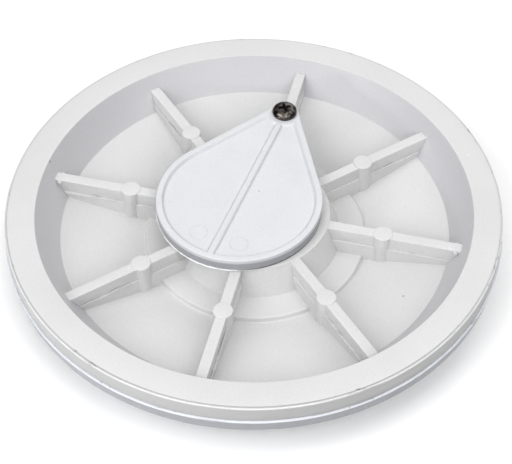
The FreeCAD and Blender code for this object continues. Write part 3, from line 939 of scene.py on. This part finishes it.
@dataclass
class RibbedBody:
    """The dished upper shell: rim, conical wall, floor, raised ring, hub, eight ribs and bosses.

    Attributes:
        outer: Radius of the outer wall, from the frame.
        rim_top: Height of the flat rim, from the frame.
    """

    outer: float
    rim_top: float
    seam: float = 21.0 * MM
    wall: float = 2.2 * MM
    step_reach: float = 90.4 * MM
    step: float = 0.25 * MM
    mouth: float = 80.6 * MM
    floor_reach: float = 72.6 * MM
    floor_edge: float = 14.9 * MM
    ring_reach: float = 41.5 * MM
    ring_foot: float = 9.3 * MM
    ring_top: float = 11.5 * MM
    ring_draft: float = 0.3 * MM
    root_share: float = 0.4
    hub_foot: float = 32.0 * MM
    hub_reach: float = 27.7 * MM
    rib_top: float = 23.2 * MM
    port: float = 22.5 * MM
    lip: float = 2.5 * MM
    socket: float = 24.65 * MM
    socket_foot: float = 17.0 * MM
    rim_thickness: float = 2.4 * MM
    ribs: int = 8
    rib_width: float = 3.9 * MM
    ledge_out: float = 0.5 * MM
    ledge: float = 17.4 * MM
    boss_proud: float = 0.28 * MM
    boss_clearance: float = 0.02 * MM
    crisp: float = 0.14 * MM
    boss_circle: float = 48.1 * MM
    boss_top_radius: float = 3.55 * MM
    boss_foot_radius: float = 3.3 * MM
    pilot_radius: float = 1.75 * MM
    pilot_depth: float = 12.0 * MM
    pip_radius: float = 0.9 * MM
    pip_out: float = 0.75 * MM
    pip_round: float = 0.25 * MM
    weld_steps: int = 46
    weld_stand: float = 0.42 * MM
    weld_sink: float = 0.2 * MM
    weld_start: float = 1.2 * MM
    weld_end: float = 0.6 * MM
    welds: tuple[Weld, ...] = (
        Weld(0, -1, 0.5), Weld(1, -1, 1.0), Weld(3, 1, 0.7), Weld(4, 1, 1.2),
        Weld(5, 1, 1.3), Weld(6, 1, 1.3), Weld(7, -1, 0.4))

    def wall_reach(self, height: float) -> float:
        """Radius of the conical wall's inner face at a height."""
        share = (height - self.floor_edge) / (self.rim_top - self.floor_edge)
        return self.floor_reach + (self.mouth - self.floor_reach) * share

    def floor_height(self, reach: float) -> float:
        """Height of the dish floor at a radius outside the raised ring."""
        share = (reach - self.ring_reach) / (self.floor_reach - self.ring_reach)
        return self.ring_foot + (self.floor_edge - self.ring_foot) * share

    def hub_side(self, height: float) -> float:
        """Radius of the hub cone's outside at a height."""
        share = (height - self.ring_top) / (self.rib_top - self.ring_top)
        return self.hub_foot + (self.hub_reach - self.hub_foot) * share

    def shell_corners(self) -> list[Corner]:
        """Section of the shell, from the seam over the rim and down to the port, and back underneath.

        Returns:
            Its corners in order.
        """
        across = self.wall * math.hypot(self.mouth - self.floor_reach, self.rim_top - self.floor_edge)
        across /= self.rim_top - self.floor_edge
        strip = self.rim_top - self.step
        underside = self.rim_top - self.rim_thickness
        ring_edge = self.ring_reach - self.ring_draft
        low_corner = self.floor_edge - self.wall * 0.55
        lip_foot = self.rib_top - self.lip
        return [
            Corner(self.outer, self.seam, 0.15 * MM),
            Corner(self.outer, strip, 0.4 * MM),
            Corner(self.step_reach, strip),
            Corner(self.step_reach, self.rim_top, 0.1 * MM),
            Corner(self.mouth, self.rim_top, 0.45 * MM),
            Corner(self.floor_reach, self.floor_edge, 0.35 * MM),
            Corner(self.ring_reach, self.ring_foot, 0.4 * MM),
            Corner(ring_edge, self.ring_top, 0.5 * MM),
            Corner(self.hub_foot, self.ring_top, 0.35 * MM),
            Corner(self.hub_reach, self.rib_top, 0.3 * MM),
            Corner(self.port, self.rib_top, 0.3 * MM),
            Corner(self.port, lip_foot),
            Corner(self.socket, lip_foot),
            Corner(self.socket, self.socket_foot),
            Corner(self.hub_side(self.socket_foot) - self.wall, self.socket_foot),
            Corner(self.hub_foot - self.wall, self.ring_top - self.wall, 0.5 * MM),
            Corner(ring_edge - self.wall, self.ring_top - self.wall, 0.4 * MM),
            Corner(ring_edge - self.wall, self.ring_foot - self.wall, 0.4 * MM),
            Corner(self.wall_reach(low_corner) + across, low_corner, 0.8 * MM),
            Corner(self.wall_reach(underside) + across, underside, 0.5 * MM),
            Corner(self.outer - self.wall, underside, 0.5 * MM),
            Corner(self.outer - self.wall, self.seam),
        ]

    def rib_block(self, name: str, top: float, width: float, rounding: float) -> bpy.types.Object:
        """A plate along +X up to a height, with rounded top edges and its other edges inside the shell.

        Args:
            name: Name of the new object.
            top: Height of its top.
            width: Its thickness.
            rounding: Rounding of its top edges.

        Returns:
            The new object.
        """
        deep = self.wall * self.root_share
        ring_edge = self.ring_reach - self.ring_draft
        corners = [
            (self.hub_side(top) - deep, top),
            (self.wall_reach(top) + deep, top),
            (self.floor_reach + deep, self.floor_edge - deep),
            (ring_edge, self.ring_foot - deep),
            (ring_edge - deep, self.ring_top - deep),
            (self.hub_foot - deep, self.ring_top - deep),
        ]
        block = Bench.outline(name, [Vector((x, -width / 2, z)) for x, z in corners])
        Bench.thicken(block, Vector((0, width, 0)))
        slack = PLACE_SLACK
        Bench.round_edges(block, rounding, lambda p, d: abs(p.z - top) < slack and abs(d.x) > 0.99)
        return block

    def spoke(self) -> bpy.types.Object:
        """One rib on +X with its ledge and its boss.

        Returns:
            The rib.
        """
        plate_top = self.rib_top - self.boss_proud
        upper = self.rib_block("spoke", plate_top, self.rib_width, self.crisp)
        lower = self.rib_block("ledge", self.ledge, self.rib_width + self.ledge_out * 2, self.crisp * 0.7)
        Bench.combine(upper, lower, Cut.ADD)
        foot_height = self.floor_height(self.boss_circle) - self.wall * self.root_share
        foot = Vector((self.boss_circle, 0, foot_height))
        top_height = self.rib_top + self.boss_clearance
        boss = Bench.cone("boss", self.boss_foot_radius, self.boss_top_radius, foot, top_height - foot.z)
        Bench.round_edges(boss, self.crisp, lambda p, d: p.z > top_height - PLACE_SLACK and
                          (p - Vector((self.boss_circle, 0, p.z))).length > self.boss_top_radius * 0.9)
        return Bench.combine(upper, boss, Cut.ADD)

    def weld_line(self, rng: random.Random, weld: Weld) -> bpy.types.Object:
        """The ragged weld mark that runs along a rib's ledge, outboard of its boss.

        Args:
            rng: Source of its raggedness.
            weld: Its side and strength.

        Returns:
            The mark, on the rib along +X.
        """
        start = self.boss_circle + self.boss_foot_radius + self.weld_start
        end = self.wall_reach(self.ledge) - self.weld_end
        blob = rng.uniform(0.25, 0.5)
        upper, lower = [], []
        drift = 0.0
        for k in range(self.weld_steps + 1):
            share = k / self.weld_steps
            drift += rng.uniform(-0.2, 0.2) * MM - drift * 0.18
            lump = math.exp(-((share - blob) / 0.07) ** 2) * 0.75
            half = (0.05 + rng.uniform(0.02, 0.14) + lump) * weld.strength * MM
            half *= min(1.0, 8 * share + 0.15, 8 * (1 - share) + 0.15)
            across = self.ledge + (drift + math.sin(share * 19) * 0.22 * MM * (1 - share)) * weld.strength
            x = start + (end - start) * share
            upper.append((x, across + half))
            lower.append((x, across - half))
        face = weld.side * (self.rib_width / 2 + self.ledge_out - self.weld_sink)
        mark = Bench.outline("weld_mark", [Vector((x, face, z)) for x, z in upper + lower[::-1]])
        return Bench.thicken(mark, Vector((0, weld.side * self.weld_stand, 0)))

    def build(self, finish: bpy.types.Material) -> bpy.types.Object:
        """Model the shell.

        Args:
            finish: Its material.

        Returns:
            The finished piece.
        """
        shell = Bench.spin(Bench.section("ribbed_body_shell", self.shell_corners()))
        first = self.spoke()
        spokes = [Bench.turned_copy(first, FULL_TURN * k / self.ribs) for k in range(1, self.ribs)]
        for spoke in (first, *spokes):
            Bench.combine(shell, spoke, Cut.ADD)
        rng = random.Random(SEED)
        for weld in self.welds:
            mark = self.weld_line(rng, weld)
            Bench.turn(mark, FULL_TURN * weld.rib / self.ribs)
            Bench.combine(shell, mark, Cut.ADD)
        pip_height = self.rib_top - self.pip_radius * 1.6
        pip_reach = self.wall_reach(pip_height) - self.pip_radius * 1.5
        for side in (1, -1):
            Bench.clear()
            bpy.ops.mesh.primitive_cylinder_add(
                vertices=32, radius=self.pip_radius, depth=self.rib_width + self.pip_out * 2,
                location=(side * pip_reach, 0, pip_height), rotation=(math.pi / 2, 0, 0))
            pip = bpy.context.object
            bpy.ops.object.transform_apply(location=True, rotation=True, scale=True)
            ends = self.rib_width / 2 + self.pip_out
            Bench.round_edges(pip, self.pip_round, lambda p, d: abs(abs(p.y) - ends) < PLACE_SLACK)
            Bench.combine(shell, pip, Cut.ADD)
        pilot_foot = Vector((0, self.boss_circle, self.rib_top - self.pilot_depth))
        pilot = Bench.cone("pilot", self.pilot_radius, self.pilot_radius, pilot_foot,
                           self.pilot_depth + MM, 40)
        Bench.combine(shell, pilot, Cut.REMOVE)
        Bench.finish(shell, finish)
        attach(shell, BodyName.FLOAT.value)
        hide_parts("ribbed_body")
        log.info("ribbed body: %d faces", len(shell.data.polygons))
        return shell


@dataclass
class FloatCover:
    """The smooth lower shell with its band, bowl and centre tube.

    Attributes:
        outer: Radius of its band, from the frame.
        base: Height of its base ring, from the frame.
    """

    outer: float
    base: float
    seam: float = 21.0 * MM
    band_foot: float = 15.2 * MM
    band_draft: float = 0.8 * MM
    mouth: float = 86.5 * MM
    bowl_foot_reach: float = 77.0 * MM
    bowl_foot: float = 5.5 * MM
    base_reach: float = 40.0 * MM
    port: float = 22.5 * MM
    tube: float = 24.6 * MM
    tube_top: float = 20.65 * MM
    wall: float = 2.2 * MM
    spigot: float = 89.05 * MM
    spigot_wall: float = 1.95 * MM
    spigot_top: float = 24.0 * MM

    def corners(self) -> list[Corner]:
        """Section of the cover, from its spigot over the band and the bowl to the tube, and back inside.

        Returns:
            Its corners in order.
        """
        run, rise = self.mouth - self.bowl_foot_reach, self.band_foot - self.bowl_foot
        across = self.wall * math.hypot(run, rise) / rise
        shift = run * self.wall / rise - across
        return [
            Corner(self.spigot, self.spigot_top, 0.3 * MM),
            Corner(self.spigot, self.seam),
            Corner(self.outer, self.seam, 0.35 * MM),
            Corner(self.outer - self.band_draft, self.band_foot, 0.6 * MM),
            Corner(self.mouth, self.band_foot, 0.8 * MM),
            Corner(self.bowl_foot_reach, self.bowl_foot, 3.0 * MM),
            Corner(self.base_reach, self.base, 6.0 * MM),
            Corner(self.port, self.base, 0.4 * MM),
            Corner(self.port, self.tube_top),
            Corner(self.tube, self.tube_top, 0.3 * MM),
            Corner(self.tube, self.base + self.wall, 0.4 * MM),
            Corner(self.base_reach, self.base + self.wall, 4.0 * MM),
            Corner(self.bowl_foot_reach + shift, self.bowl_foot + self.wall, 1.5 * MM),
            Corner(self.mouth + shift, self.band_foot + self.wall, 0.5 * MM),
            Corner(self.spigot - self.spigot_wall, self.band_foot + self.wall, 0.4 * MM),
            Corner(self.spigot - self.spigot_wall, self.spigot_top, 0.3 * MM),
        ]

    def build(self, finish: bpy.types.Material) -> bpy.types.Object:
        """Model the cover.

        Args:
            finish: Its material.

        Returns:
            The finished piece.
        """
        cover = Bench.spin(Bench.section("float_cover_shell", self.corners()))
        Bench.finish(cover, finish)
        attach(cover, BodyName.FLOAT.value)
        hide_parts("float_cover")
        log.info("float cover: %d faces", len(cover.data.polygons))
        return cover


@dataclass
class TrimFlap:
    """The teardrop flap, drawn closed over the port and turned about its pivot to where it rests.

    Attributes:
        foot: Height of its underside, from the frame.
        top: Height of its bead, from the frame.
        turn: Its turn from closed, counter-clockwise from above.
    """

    foot: float
    top: float
    turn: float
    pivot_reach: float = 48.1 * MM
    round_end: float = 30.8 * MM
    tip: float = 5.3 * MM
    bead: float = 2.2 * MM
    slope: float = 0.9 * MM
    bead_height: float = 1.0 * MM
    edge_round: float = 0.8 * MM
    pad_top: float = 6.3 * MM
    pad_foot: float = 7.2 * MM
    rib_foot: float = 3.3 * MM
    rib_crest: float = 1.9 * MM
    hole: float = 2.5 * MM
    core: float = 20.0 * MM
    core_depth: float = 1.8 * MM
    core_draft: float = 0.2 * MM
    pad_sink: float = 0.3 * MM
    rib_sink: float = 0.5 * MM
    rib_round: float = 0.3 * MM
    mark_radius: float = 3.3 * MM
    mark_groove: float = 0.16 * MM
    mark_reach: float = 68.4 * MM
    mark_side: float = 7.9 * MM
    outline_points: int = 176
    flash_points: int = 256

    def __post_init__(self) -> None:
        """Work out the outline's tangent angle and the lengths of its stretches."""
        self.lean = math.asin((self.round_end - self.tip) / self.pivot_reach)
        self.side = self.pivot_reach * math.cos(self.lean)
        self.stretches = (self.round_end * (math.pi + 2 * self.lean), self.side,
                          self.tip * (math.pi - 2 * self.lean), self.side)

    def edge_place(self, share: float) -> tuple[Vector, Vector]:
        """A point of the closed outline and the outward direction there.

        Args:
            share: Share of the way round, counter-clockwise from the left tangent point.

        Returns:
            The point and the direction, both at height 0.
        """
        along = (share % 1.0) * sum(self.stretches)
        start = math.pi - self.lean
        if along <= self.stretches[0]:
            angle = start + along / self.round_end
            out = Vector((math.cos(angle), math.sin(angle), 0))
            return out * self.round_end, out
        along -= self.stretches[0]
        right = Vector((math.cos(self.lean), math.sin(self.lean), 0))
        left = Vector((-right.x, right.y, 0))
        pivot = Vector((0, self.pivot_reach, 0))
        if along <= self.side:
            way = Vector((-math.sin(self.lean), math.cos(self.lean), 0))
            return right * self.round_end + way * along, right
        along -= self.side
        if along <= self.stretches[2]:
            angle = self.lean + along / self.tip
            out = Vector((math.cos(angle), math.sin(angle), 0))
            return pivot + out * self.tip, out
        along -= self.stretches[2]
        way = Vector((-math.sin(self.lean), -math.cos(self.lean), 0))
        return pivot + left * self.tip + way * along, left

    def prism(self, name: str, height: float) -> bpy.types.Object:
        """The flap's outline made a solid, from its underside up.

        Args:
            name: Name of the new object.
            height: Its height.

        Returns:
            The new object.
        """
        places = [self.edge_place(k / self.outline_points)[0] for k in range(self.outline_points)]
        obj = Bench.outline(name, [place + Vector((0, 0, self.foot)) for place in places])
        return Bench.thicken(obj, Vector((0, 0, height)))

    def block(self) -> bpy.types.Object:
        """The flap's body with its rounded bead and sunk plate.

        Returns:
            The body.
        """
        obj = self.prism("trim_flap_plate", self.top - self.foot)
        Bench.select(obj, "FACE", lambda p, n: n.z > 0.9)
        bpy.ops.mesh.inset(thickness=self.bead, use_even_offset=True)
        bpy.ops.mesh.inset(thickness=self.slope, depth=-self.bead_height, use_even_offset=True)
        bpy.ops.object.mode_set(mode="OBJECT")
        centre_reach = self.round_end - self.edge_round * 0.5

        def on_rim(point: Vector, along: Vector) -> bool:
            """Whether an edge is on the outline's top corner."""
            across = abs(point.x) * math.cos(self.lean) + (point.y - self.pivot_reach) * math.sin(self.lean)
            round_part = math.hypot(point.x, point.y) > centre_reach
            tip_part = math.hypot(point.x, point.y - self.pivot_reach) > self.tip - self.edge_round * 0.5
            side_part = across > self.tip - self.edge_round * 0.5
            level = abs(along.z) < 0.1 and point.z > self.top - PLACE_SLACK
            return level and (round_part or (tip_part and point.y > self.pivot_reach) or side_part)

        Bench.round_edges(obj, self.edge_round, on_rim, ROUND_STEPS)
        return obj

    def flash(self, rng: random.Random) -> bpy.types.Object:
        """The ragged line of flash along the flap's lower edge.

        Args:
            rng: Source of its raggedness.

        Returns:
            A closed thin strip.
        """
        corners = 4
        Bench.clear()
        bpy.ops.mesh.primitive_torus_add(major_segments=self.flash_points, minor_segments=corners,
                                         major_radius=self.round_end, minor_radius=MM * 0.1)
        obj = bpy.context.object
        obj.name = "trim_flap_flash"
        reach = 0.15
        for k in range(self.flash_points):
            place, out = self.edge_place(k / self.flash_points)
            reach += (rng.uniform(0.02, 0.42) - reach) * 0.55
            drop = rng.uniform(0.0, 0.05)
            tall = rng.uniform(0.30, 0.55)
            if place.x > self.round_end * 0.35:
                drop, tall, reach = 0.0, 0.06, min(reach, 0.08)
            ring = ((-0.1, tall), (-0.1, 0.0), (reach, drop), (reach * 0.55, tall * 0.75))
            for corner, (side, up) in enumerate(ring):
                vertex = obj.data.vertices[k * corners + corner]
                vertex.co = place + out * side * MM + Vector((0, 0, self.foot + up * MM + 0.04 * MM))
        return obj

    def build(self, finish: bpy.types.Material, flash_finish: bpy.types.Material) -> bpy.types.Object:
        """Model the flap.

        Args:
            finish: Its material.
            flash_finish: The material of its flash.

        Returns:
            The finished flap.
        """
        plate = self.top - self.bead_height
        flap = self.block()
        pad_foot = Vector((0, self.pivot_reach, plate - self.pad_sink))
        pad_height = self.top - 0.01 * MM - pad_foot.z
        spread = (self.pad_foot - self.pad_top) * self.pad_sink / self.bead_height
        pad = Bench.cone("pad", self.pad_foot + spread, self.pad_top, pad_foot, pad_height, 96)
        Bench.combine(flap, pad, Cut.ADD)
        Bench.combine(flap, self.prism("limit", (self.top - self.foot) * 2), Cut.KEEP)
        crest, foot, low = self.rib_crest / 2, self.rib_foot / 2, plate - self.rib_sink
        high = self.top - 0.02 * MM
        start, end = -self.round_end + self.bead * 0.6, self.pivot_reach - self.pad_top * 0.7
        section = [(-foot, plate), (-crest, high), (crest, high), (foot, plate), (foot, low), (-foot, low)]
        rib = Bench.outline("centre_bead", [Vector((x, start, z)) for x, z in section])
        Bench.thicken(rib, Vector((0, end - start, 0)))
        Bench.round_edges(rib, self.rib_round, lambda p, d: abs(d.y) > 0.99 and p.z > high - PLACE_SLACK)
        Bench.combine(flap, rib, Cut.ADD)
        hole_foot = Vector((0, self.pivot_reach, self.foot - MM))
        depth = self.top - self.foot + 2 * MM
        Bench.combine(flap, Bench.cone("hole", self.hole, self.hole, hole_foot, depth), Cut.REMOVE)
        core_foot = Vector((0, 0, self.foot - MM))
        core = Bench.cone("core", self.core, self.core - self.core_draft, core_foot,
                          self.core_depth + MM, 120)
        Bench.combine(flap, core, Cut.REMOVE)
        for side in (1, -1):
            Bench.clear()
            place = (side * self.mark_side, self.pivot_reach - self.mark_reach, plate)
            bpy.ops.mesh.primitive_torus_add(location=place, major_segments=64, minor_segments=8,
                                             major_radius=self.mark_radius, minor_radius=self.mark_groove)
            ring = bpy.context.object
            bpy.ops.object.transform_apply(location=True, rotation=True, scale=True)
            Bench.combine(flap, ring, Cut.REMOVE)
        pivot = Vector((0, self.pivot_reach, 0))
        strip = self.flash(random.Random(SEED))
        for obj, material in ((flap, finish), (strip, flash_finish)):
            Bench.turn(obj, self.turn, pivot)
            Bench.finish(obj, material)
            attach(obj, BodyName.FLAP.value)
            log.info("%s: %d faces", obj.name, len(obj.data.polygons))
        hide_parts("trim_flap")
        return flap


@dataclass
class PivotScrew:
    """Pan-head screw with a cross recess, standing in the pivot boss.

    Attributes:
        point: Height of its point, from the frame.
        crown: Height of its crown, from the frame.
    """

    point: float
    crown: float
    axis: Vector = field(default_factory=lambda: Vector((0, 48.1 * MM, 0)))
    head_height: float = 2.9 * MM
    head: float = 4.75 * MM
    head_side: float = 1.1 * MM
    shank: float = 2.42 * MM
    root: float = 1.75 * MM
    pitch: float = 1.6 * MM
    ridges: int = 5
    plain: float = 5.6 * MM
    recess_span: float = 5.2 * MM
    recess_width: float = 1.1 * MM
    recess_depth: float = 1.9 * MM
    recess_turn: float = math.radians(28)
    recess_taper: float = 0.66
    recess_over: float = 0.3 * MM
    well_foot: float = 0.25 * MM
    well_mouth: float = 1.35 * MM
    well_depth: float = 2.4 * MM
    well_height: float = 2.6 * MM

    def corners(self) -> list[Corner]:
        """Half section of the screw about its own axis, from the crown down to the point.

        Returns:
            Its corners in order.
        """
        seat = self.crown - self.head_height
        dome = self.head_height - self.head_side
        corners = [
            Corner(0.0, self.crown),
            Corner(self.head * 0.36, self.crown - dome * 0.02, 3.0 * MM),
            Corner(self.head * 0.66, self.crown - dome * 0.17, 2.0 * MM),
            Corner(self.head * 0.89, self.crown - dome * 0.56, 1.2 * MM),
            Corner(self.head, seat + self.head_side, 0.5 * MM),
            Corner(self.head, seat, 0.15 * MM),
            Corner(self.shank, seat),
        ]
        first = seat - self.plain
        for ridge in range(self.ridges):
            height = first - self.pitch * ridge
            corners.append(Corner(self.shank, height))
            corners.append(Corner(self.root, height - self.pitch * 0.35))
            corners.append(Corner(self.root, height - self.pitch * 0.65))
        corners.append(Corner(self.shank - 0.2 * MM, first - self.pitch * self.ridges))
        corners.append(Corner(self.root, self.point + 1.8 * MM))
        corners.append(Corner(0.0, self.point))
        return corners

    def recess(self) -> bpy.types.Object:
        """The cross that is cut into the crown, narrower at its floor.

        Returns:
            The cross.
        """
        half, tip = self.recess_width / 2, self.recess_span / 2
        mouth = self.crown + self.recess_over
        corners = []
        for quarter in range(4):
            cosine = round(math.cos(quarter * math.pi / 2))
            sine = round(math.sin(quarter * math.pi / 2))
            for x, y in ((tip, -half), (tip, half), (half, half)):
                corners.append(Vector((x * cosine - y * sine, x * sine + y * cosine, mouth)))
        cross = Bench.outline("recess", corners)
        Bench.thicken(cross, Vector((0, 0, -self.recess_depth - self.recess_over)))
        floor = self.crown - self.recess_depth
        Bench.select(cross, "VERT", lambda p, n: p.z < floor + PLACE_SLACK)
        taper = (self.recess_taper, self.recess_taper, 1.0)
        bpy.ops.transform.resize(value=taper, center_override=(0, 0, floor))
        bpy.ops.object.mode_set(mode="OBJECT")
        Bench.turn(cross, self.recess_turn)
        return cross

    def build(self, finish: bpy.types.Material) -> bpy.types.Object:
        """Model the screw.

        Args:
            finish: Its material.

        Returns:
            The finished piece.
        """
        screw = Bench.spin(Bench.section("pivot_screw_steel", self.corners()), 96)
        Bench.combine(screw, self.recess(), Cut.REMOVE)
        well_bottom = Vector((0, 0, self.crown - self.well_depth))
        well = Bench.cone("well", self.well_foot, self.well_mouth, well_bottom, self.well_height, 40)
        Bench.combine(screw, well, Cut.REMOVE)
        Bench.stand(screw, self.axis)
        Bench.finish(screw, finish, math.radians(40))
        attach(screw, BodyName.FLOAT.value)
        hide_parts("pivot_screw")
        log.info("pivot screw: %d faces", len(screw.data.polygons))
        return screw


# ---------------------------------------------------------------------------------------------
# Studio
# ---------------------------------------------------------------------------------------------
@dataclass(frozen=True)
class SoftLight:
    """One large soft light aimed at the disc.

    Attributes:
        name: Name of the light.
        place: Where it hangs.
        size: Width and height of its face.
        power: Its power in watts.
        colour: Its colour.
    """

    name: str
    place: tuple[float, float, float]
    size: tuple[float, float]
    power: float
    colour: tuple[float, float, float] = (1.0, 1.0, 1.0)

    def hang(self, aim: Vector) -> None:
        """Hang the light and turn it to a point.

        Args:
            aim: The point.
        """
        Bench.clear()
        bpy.ops.object.light_add(type="AREA", location=self.place)
        lamp = bpy.context.object
        lamp.name = self.name
        lamp.data.shape = "RECTANGLE"
        lamp.data.size, lamp.data.size_y = self.size
        lamp.data.energy = self.power
        lamp.data.color = self.colour
        lamp.rotation_euler = (aim - Vector(self.place)).to_track_quat("-Z", "Y").to_euler()


@dataclass
class Studio:
    """Floor, lights, world and camera."""

    target: Vector = field(default_factory=lambda: Vector((23.11, -8.92, 28.0)) * MM)
    distance: float = 513.3 * MM
    azimuth: float = math.radians(-10.58)
    elevation: float = math.radians(48.78)
    roll: float = math.radians(-2.18)
    lens: float = 99.55
    shift: tuple[float, float] = (-0.1085, -0.0024)
    aim: Vector = field(default_factory=lambda: Vector((0.0, 0.0, 20.0)) * MM)
    world_level: float = 0.066
    contrast: float = 1.15
    lights: tuple[SoftLight, ...] = (
        SoftLight("top_light", (0.0, 0.0, 1.32), (0.9, 0.9), 6.0),
        SoftLight("front_left_light", (-0.67, -0.67, 0.91), (0.9, 0.9), 9.7),
        SoftLight("front_right_light", (0.67, -0.67, 0.91), (0.9, 0.9), 8.0),
        SoftLight("front_light", (0.0, -1.07, 0.77), (0.9, 0.9), 3.2),
        SoftLight("back_light", (0.0, 1.16, 0.60), (0.9, 0.9), 3.5),
        SoftLight("back_left_light", (-0.67, 0.67, 0.91), (0.9, 0.9), 1.4),
        SoftLight("back_right_light", (0.67, 0.67, 0.91), (0.9, 0.9), 3.7),
        SoftLight("low_front_panel", (-0.63, -1.00, 0.22), (0.16, 0.08), 1.5),
    )

    def lay_floor(self, height: float) -> None:
        """Lay the floor.

        Args:
            height: Its height.
        """
        Bench.clear()
        bpy.ops.mesh.primitive_plane_add(size=6.0, location=(0, 0, height))
        floor = bpy.context.object
        floor.name = "studio_floor"
        bpy.ops.object.transform_apply(location=True)
        floor.data.materials.append(StudioFloor().build())

    def light(self) -> None:
        """Set the world's even white light and hang the soft lights."""
        world = bpy.data.worlds.new("studio_world")
        bpy.context.scene.world = world
        world.use_nodes = True
        background = world.node_tree.nodes["Background"]
        background.inputs["Color"].default_value = (1.0, 1.0, 1.0, 1.0)
        background.inputs["Strength"].default_value = self.world_level
        for lamp in self.lights:
            lamp.hang(self.aim)

    def set_camera(self) -> None:
        """Place the camera."""
        level = math.cos(self.elevation)
        forward = Vector((math.sin(self.azimuth) * level, math.cos(self.azimuth) * level,
                          -math.sin(self.elevation)))
        Bench.clear()
        bpy.ops.object.camera_add(location=self.target - forward * self.distance)
        camera = bpy.context.object
        right = forward.cross(Vector((0, 0, 1))).normalized()
        up = right.cross(forward)
        tilt_up = up * math.cos(self.roll) + right * math.sin(self.roll)
        tilt_right = forward.cross(tilt_up)
        camera.matrix_world = Matrix((
            (tilt_right.x, tilt_up.x, -forward.x, camera.location.x),
            (tilt_right.y, tilt_up.y, -forward.y, camera.location.y),
            (tilt_right.z, tilt_up.z, -forward.z, camera.location.z),
            (0, 0, 0, 1)))
        camera.data.lens = self.lens
        camera.data.shift_x, camera.data.shift_y = self.shift
        camera.data.clip_start, camera.data.clip_end = 0.01, 20.0
        bpy.context.scene.camera = camera

    def build(self, base: float) -> None:
        """Set up the studio.

        Args:
            base: Height of the disc's base.
        """
        self.lay_floor(base)
        self.light()
        self.set_camera()
        bpy.context.scene.view_settings.view_transform = "Standard"
        bpy.context.scene.view_settings.gamma = 1 / self.contrast


def main() -> None:
    """Build every piece round the frame and set up the studio."""
    logging.basicConfig(level=logging.INFO, format="%(message)s")
    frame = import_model()
    body_low, body_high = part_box("ribbed_body")
    cover_low, cover_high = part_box("float_cover")
    flap_low, flap_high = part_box("trim_flap")
    screw_low, screw_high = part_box("pivot_screw")
    joint = frame["joints"][0]
    closed = math.radians(sum(joint["range_deg"]) / 2)

    body = RibbedBody(outer=body_high.x, rim_top=body_high.z)
    cover = FloatCover(outer=cover_high.x, base=cover_low.z)
    flap = TrimFlap(foot=flap_low.z, top=flap_high.z, turn=-closed)
    screw = PivotScrew(point=screw_low.z, crown=screw_high.z)

    # The body's side, lip, step and strip settings paint shade on its outer side and the rim's step, and a
    # highlight along the top of that side.
    body_finish = ShellPlastic(
        name="body_white", base=grey(0.62), roughness=0.36, edge_reach=body.outer - 0.3 * MM,
        edge_height=body.rim_top - 0.3 * MM, wear=1.0, side_shade_tone=0.74, lip_highlight_tone=1.1,
        step_shade_reach=body.step_reach + 0.12 * MM, strip_shade=0.8,
        wall_foot=(body.floor_reach, body.floor_edge), wall_head=(body.mouth, body.rim_top))
    # The cover's base is darker than the body's, painted shade on its lower band. Its side and lip settings
    # paint shade on the band and a highlight along its top.
    cover_finish = ShellPlastic(
        name="cover_white", base=grey(0.445, 0.018), roughness=0.36, edge_reach=cover.outer - 0.9 * MM,
        edge_height=cover.seam - 0.2 * MM, wear=0.7, side_shade_tone=0.82, lip_highlight_tone=1.6)
    # The flap's gap and side settings paint shade in the gap under its right side and on its side.
    flap_finish = FlapPlastic(
        name="flap_white", base=grey(0.635, 0.014), roughness=0.34, gap_shade_height=flap.foot + 0.7 * MM,
        side_height=flap.top - 1.5 * MM)
    # Painted highlight: the flash's base is brighter than the flap's plastic.
    flash_finish = FlapPlastic(name="flash_white", base=grey(0.84, 0.008), roughness=0.5)
    steel = ScrewSteel(
        name="screw_steel", clean=(0.18, 0.165, 0.152, 1.0), stain=(0.035, 0.029, 0.025, 1.0),
        axis=screw.axis, recess_reach=screw.recess_span / 2, recess_floor=screw.crown - 0.6 * MM)

    body.build(body_finish.build())
    cover.build(cover_finish.build())
    flap.build(flap_finish.build(), flash_finish.build())
    screw.build(steel.build())
    Studio().build(cover.base)


if __name__ == "__main__":
    main()
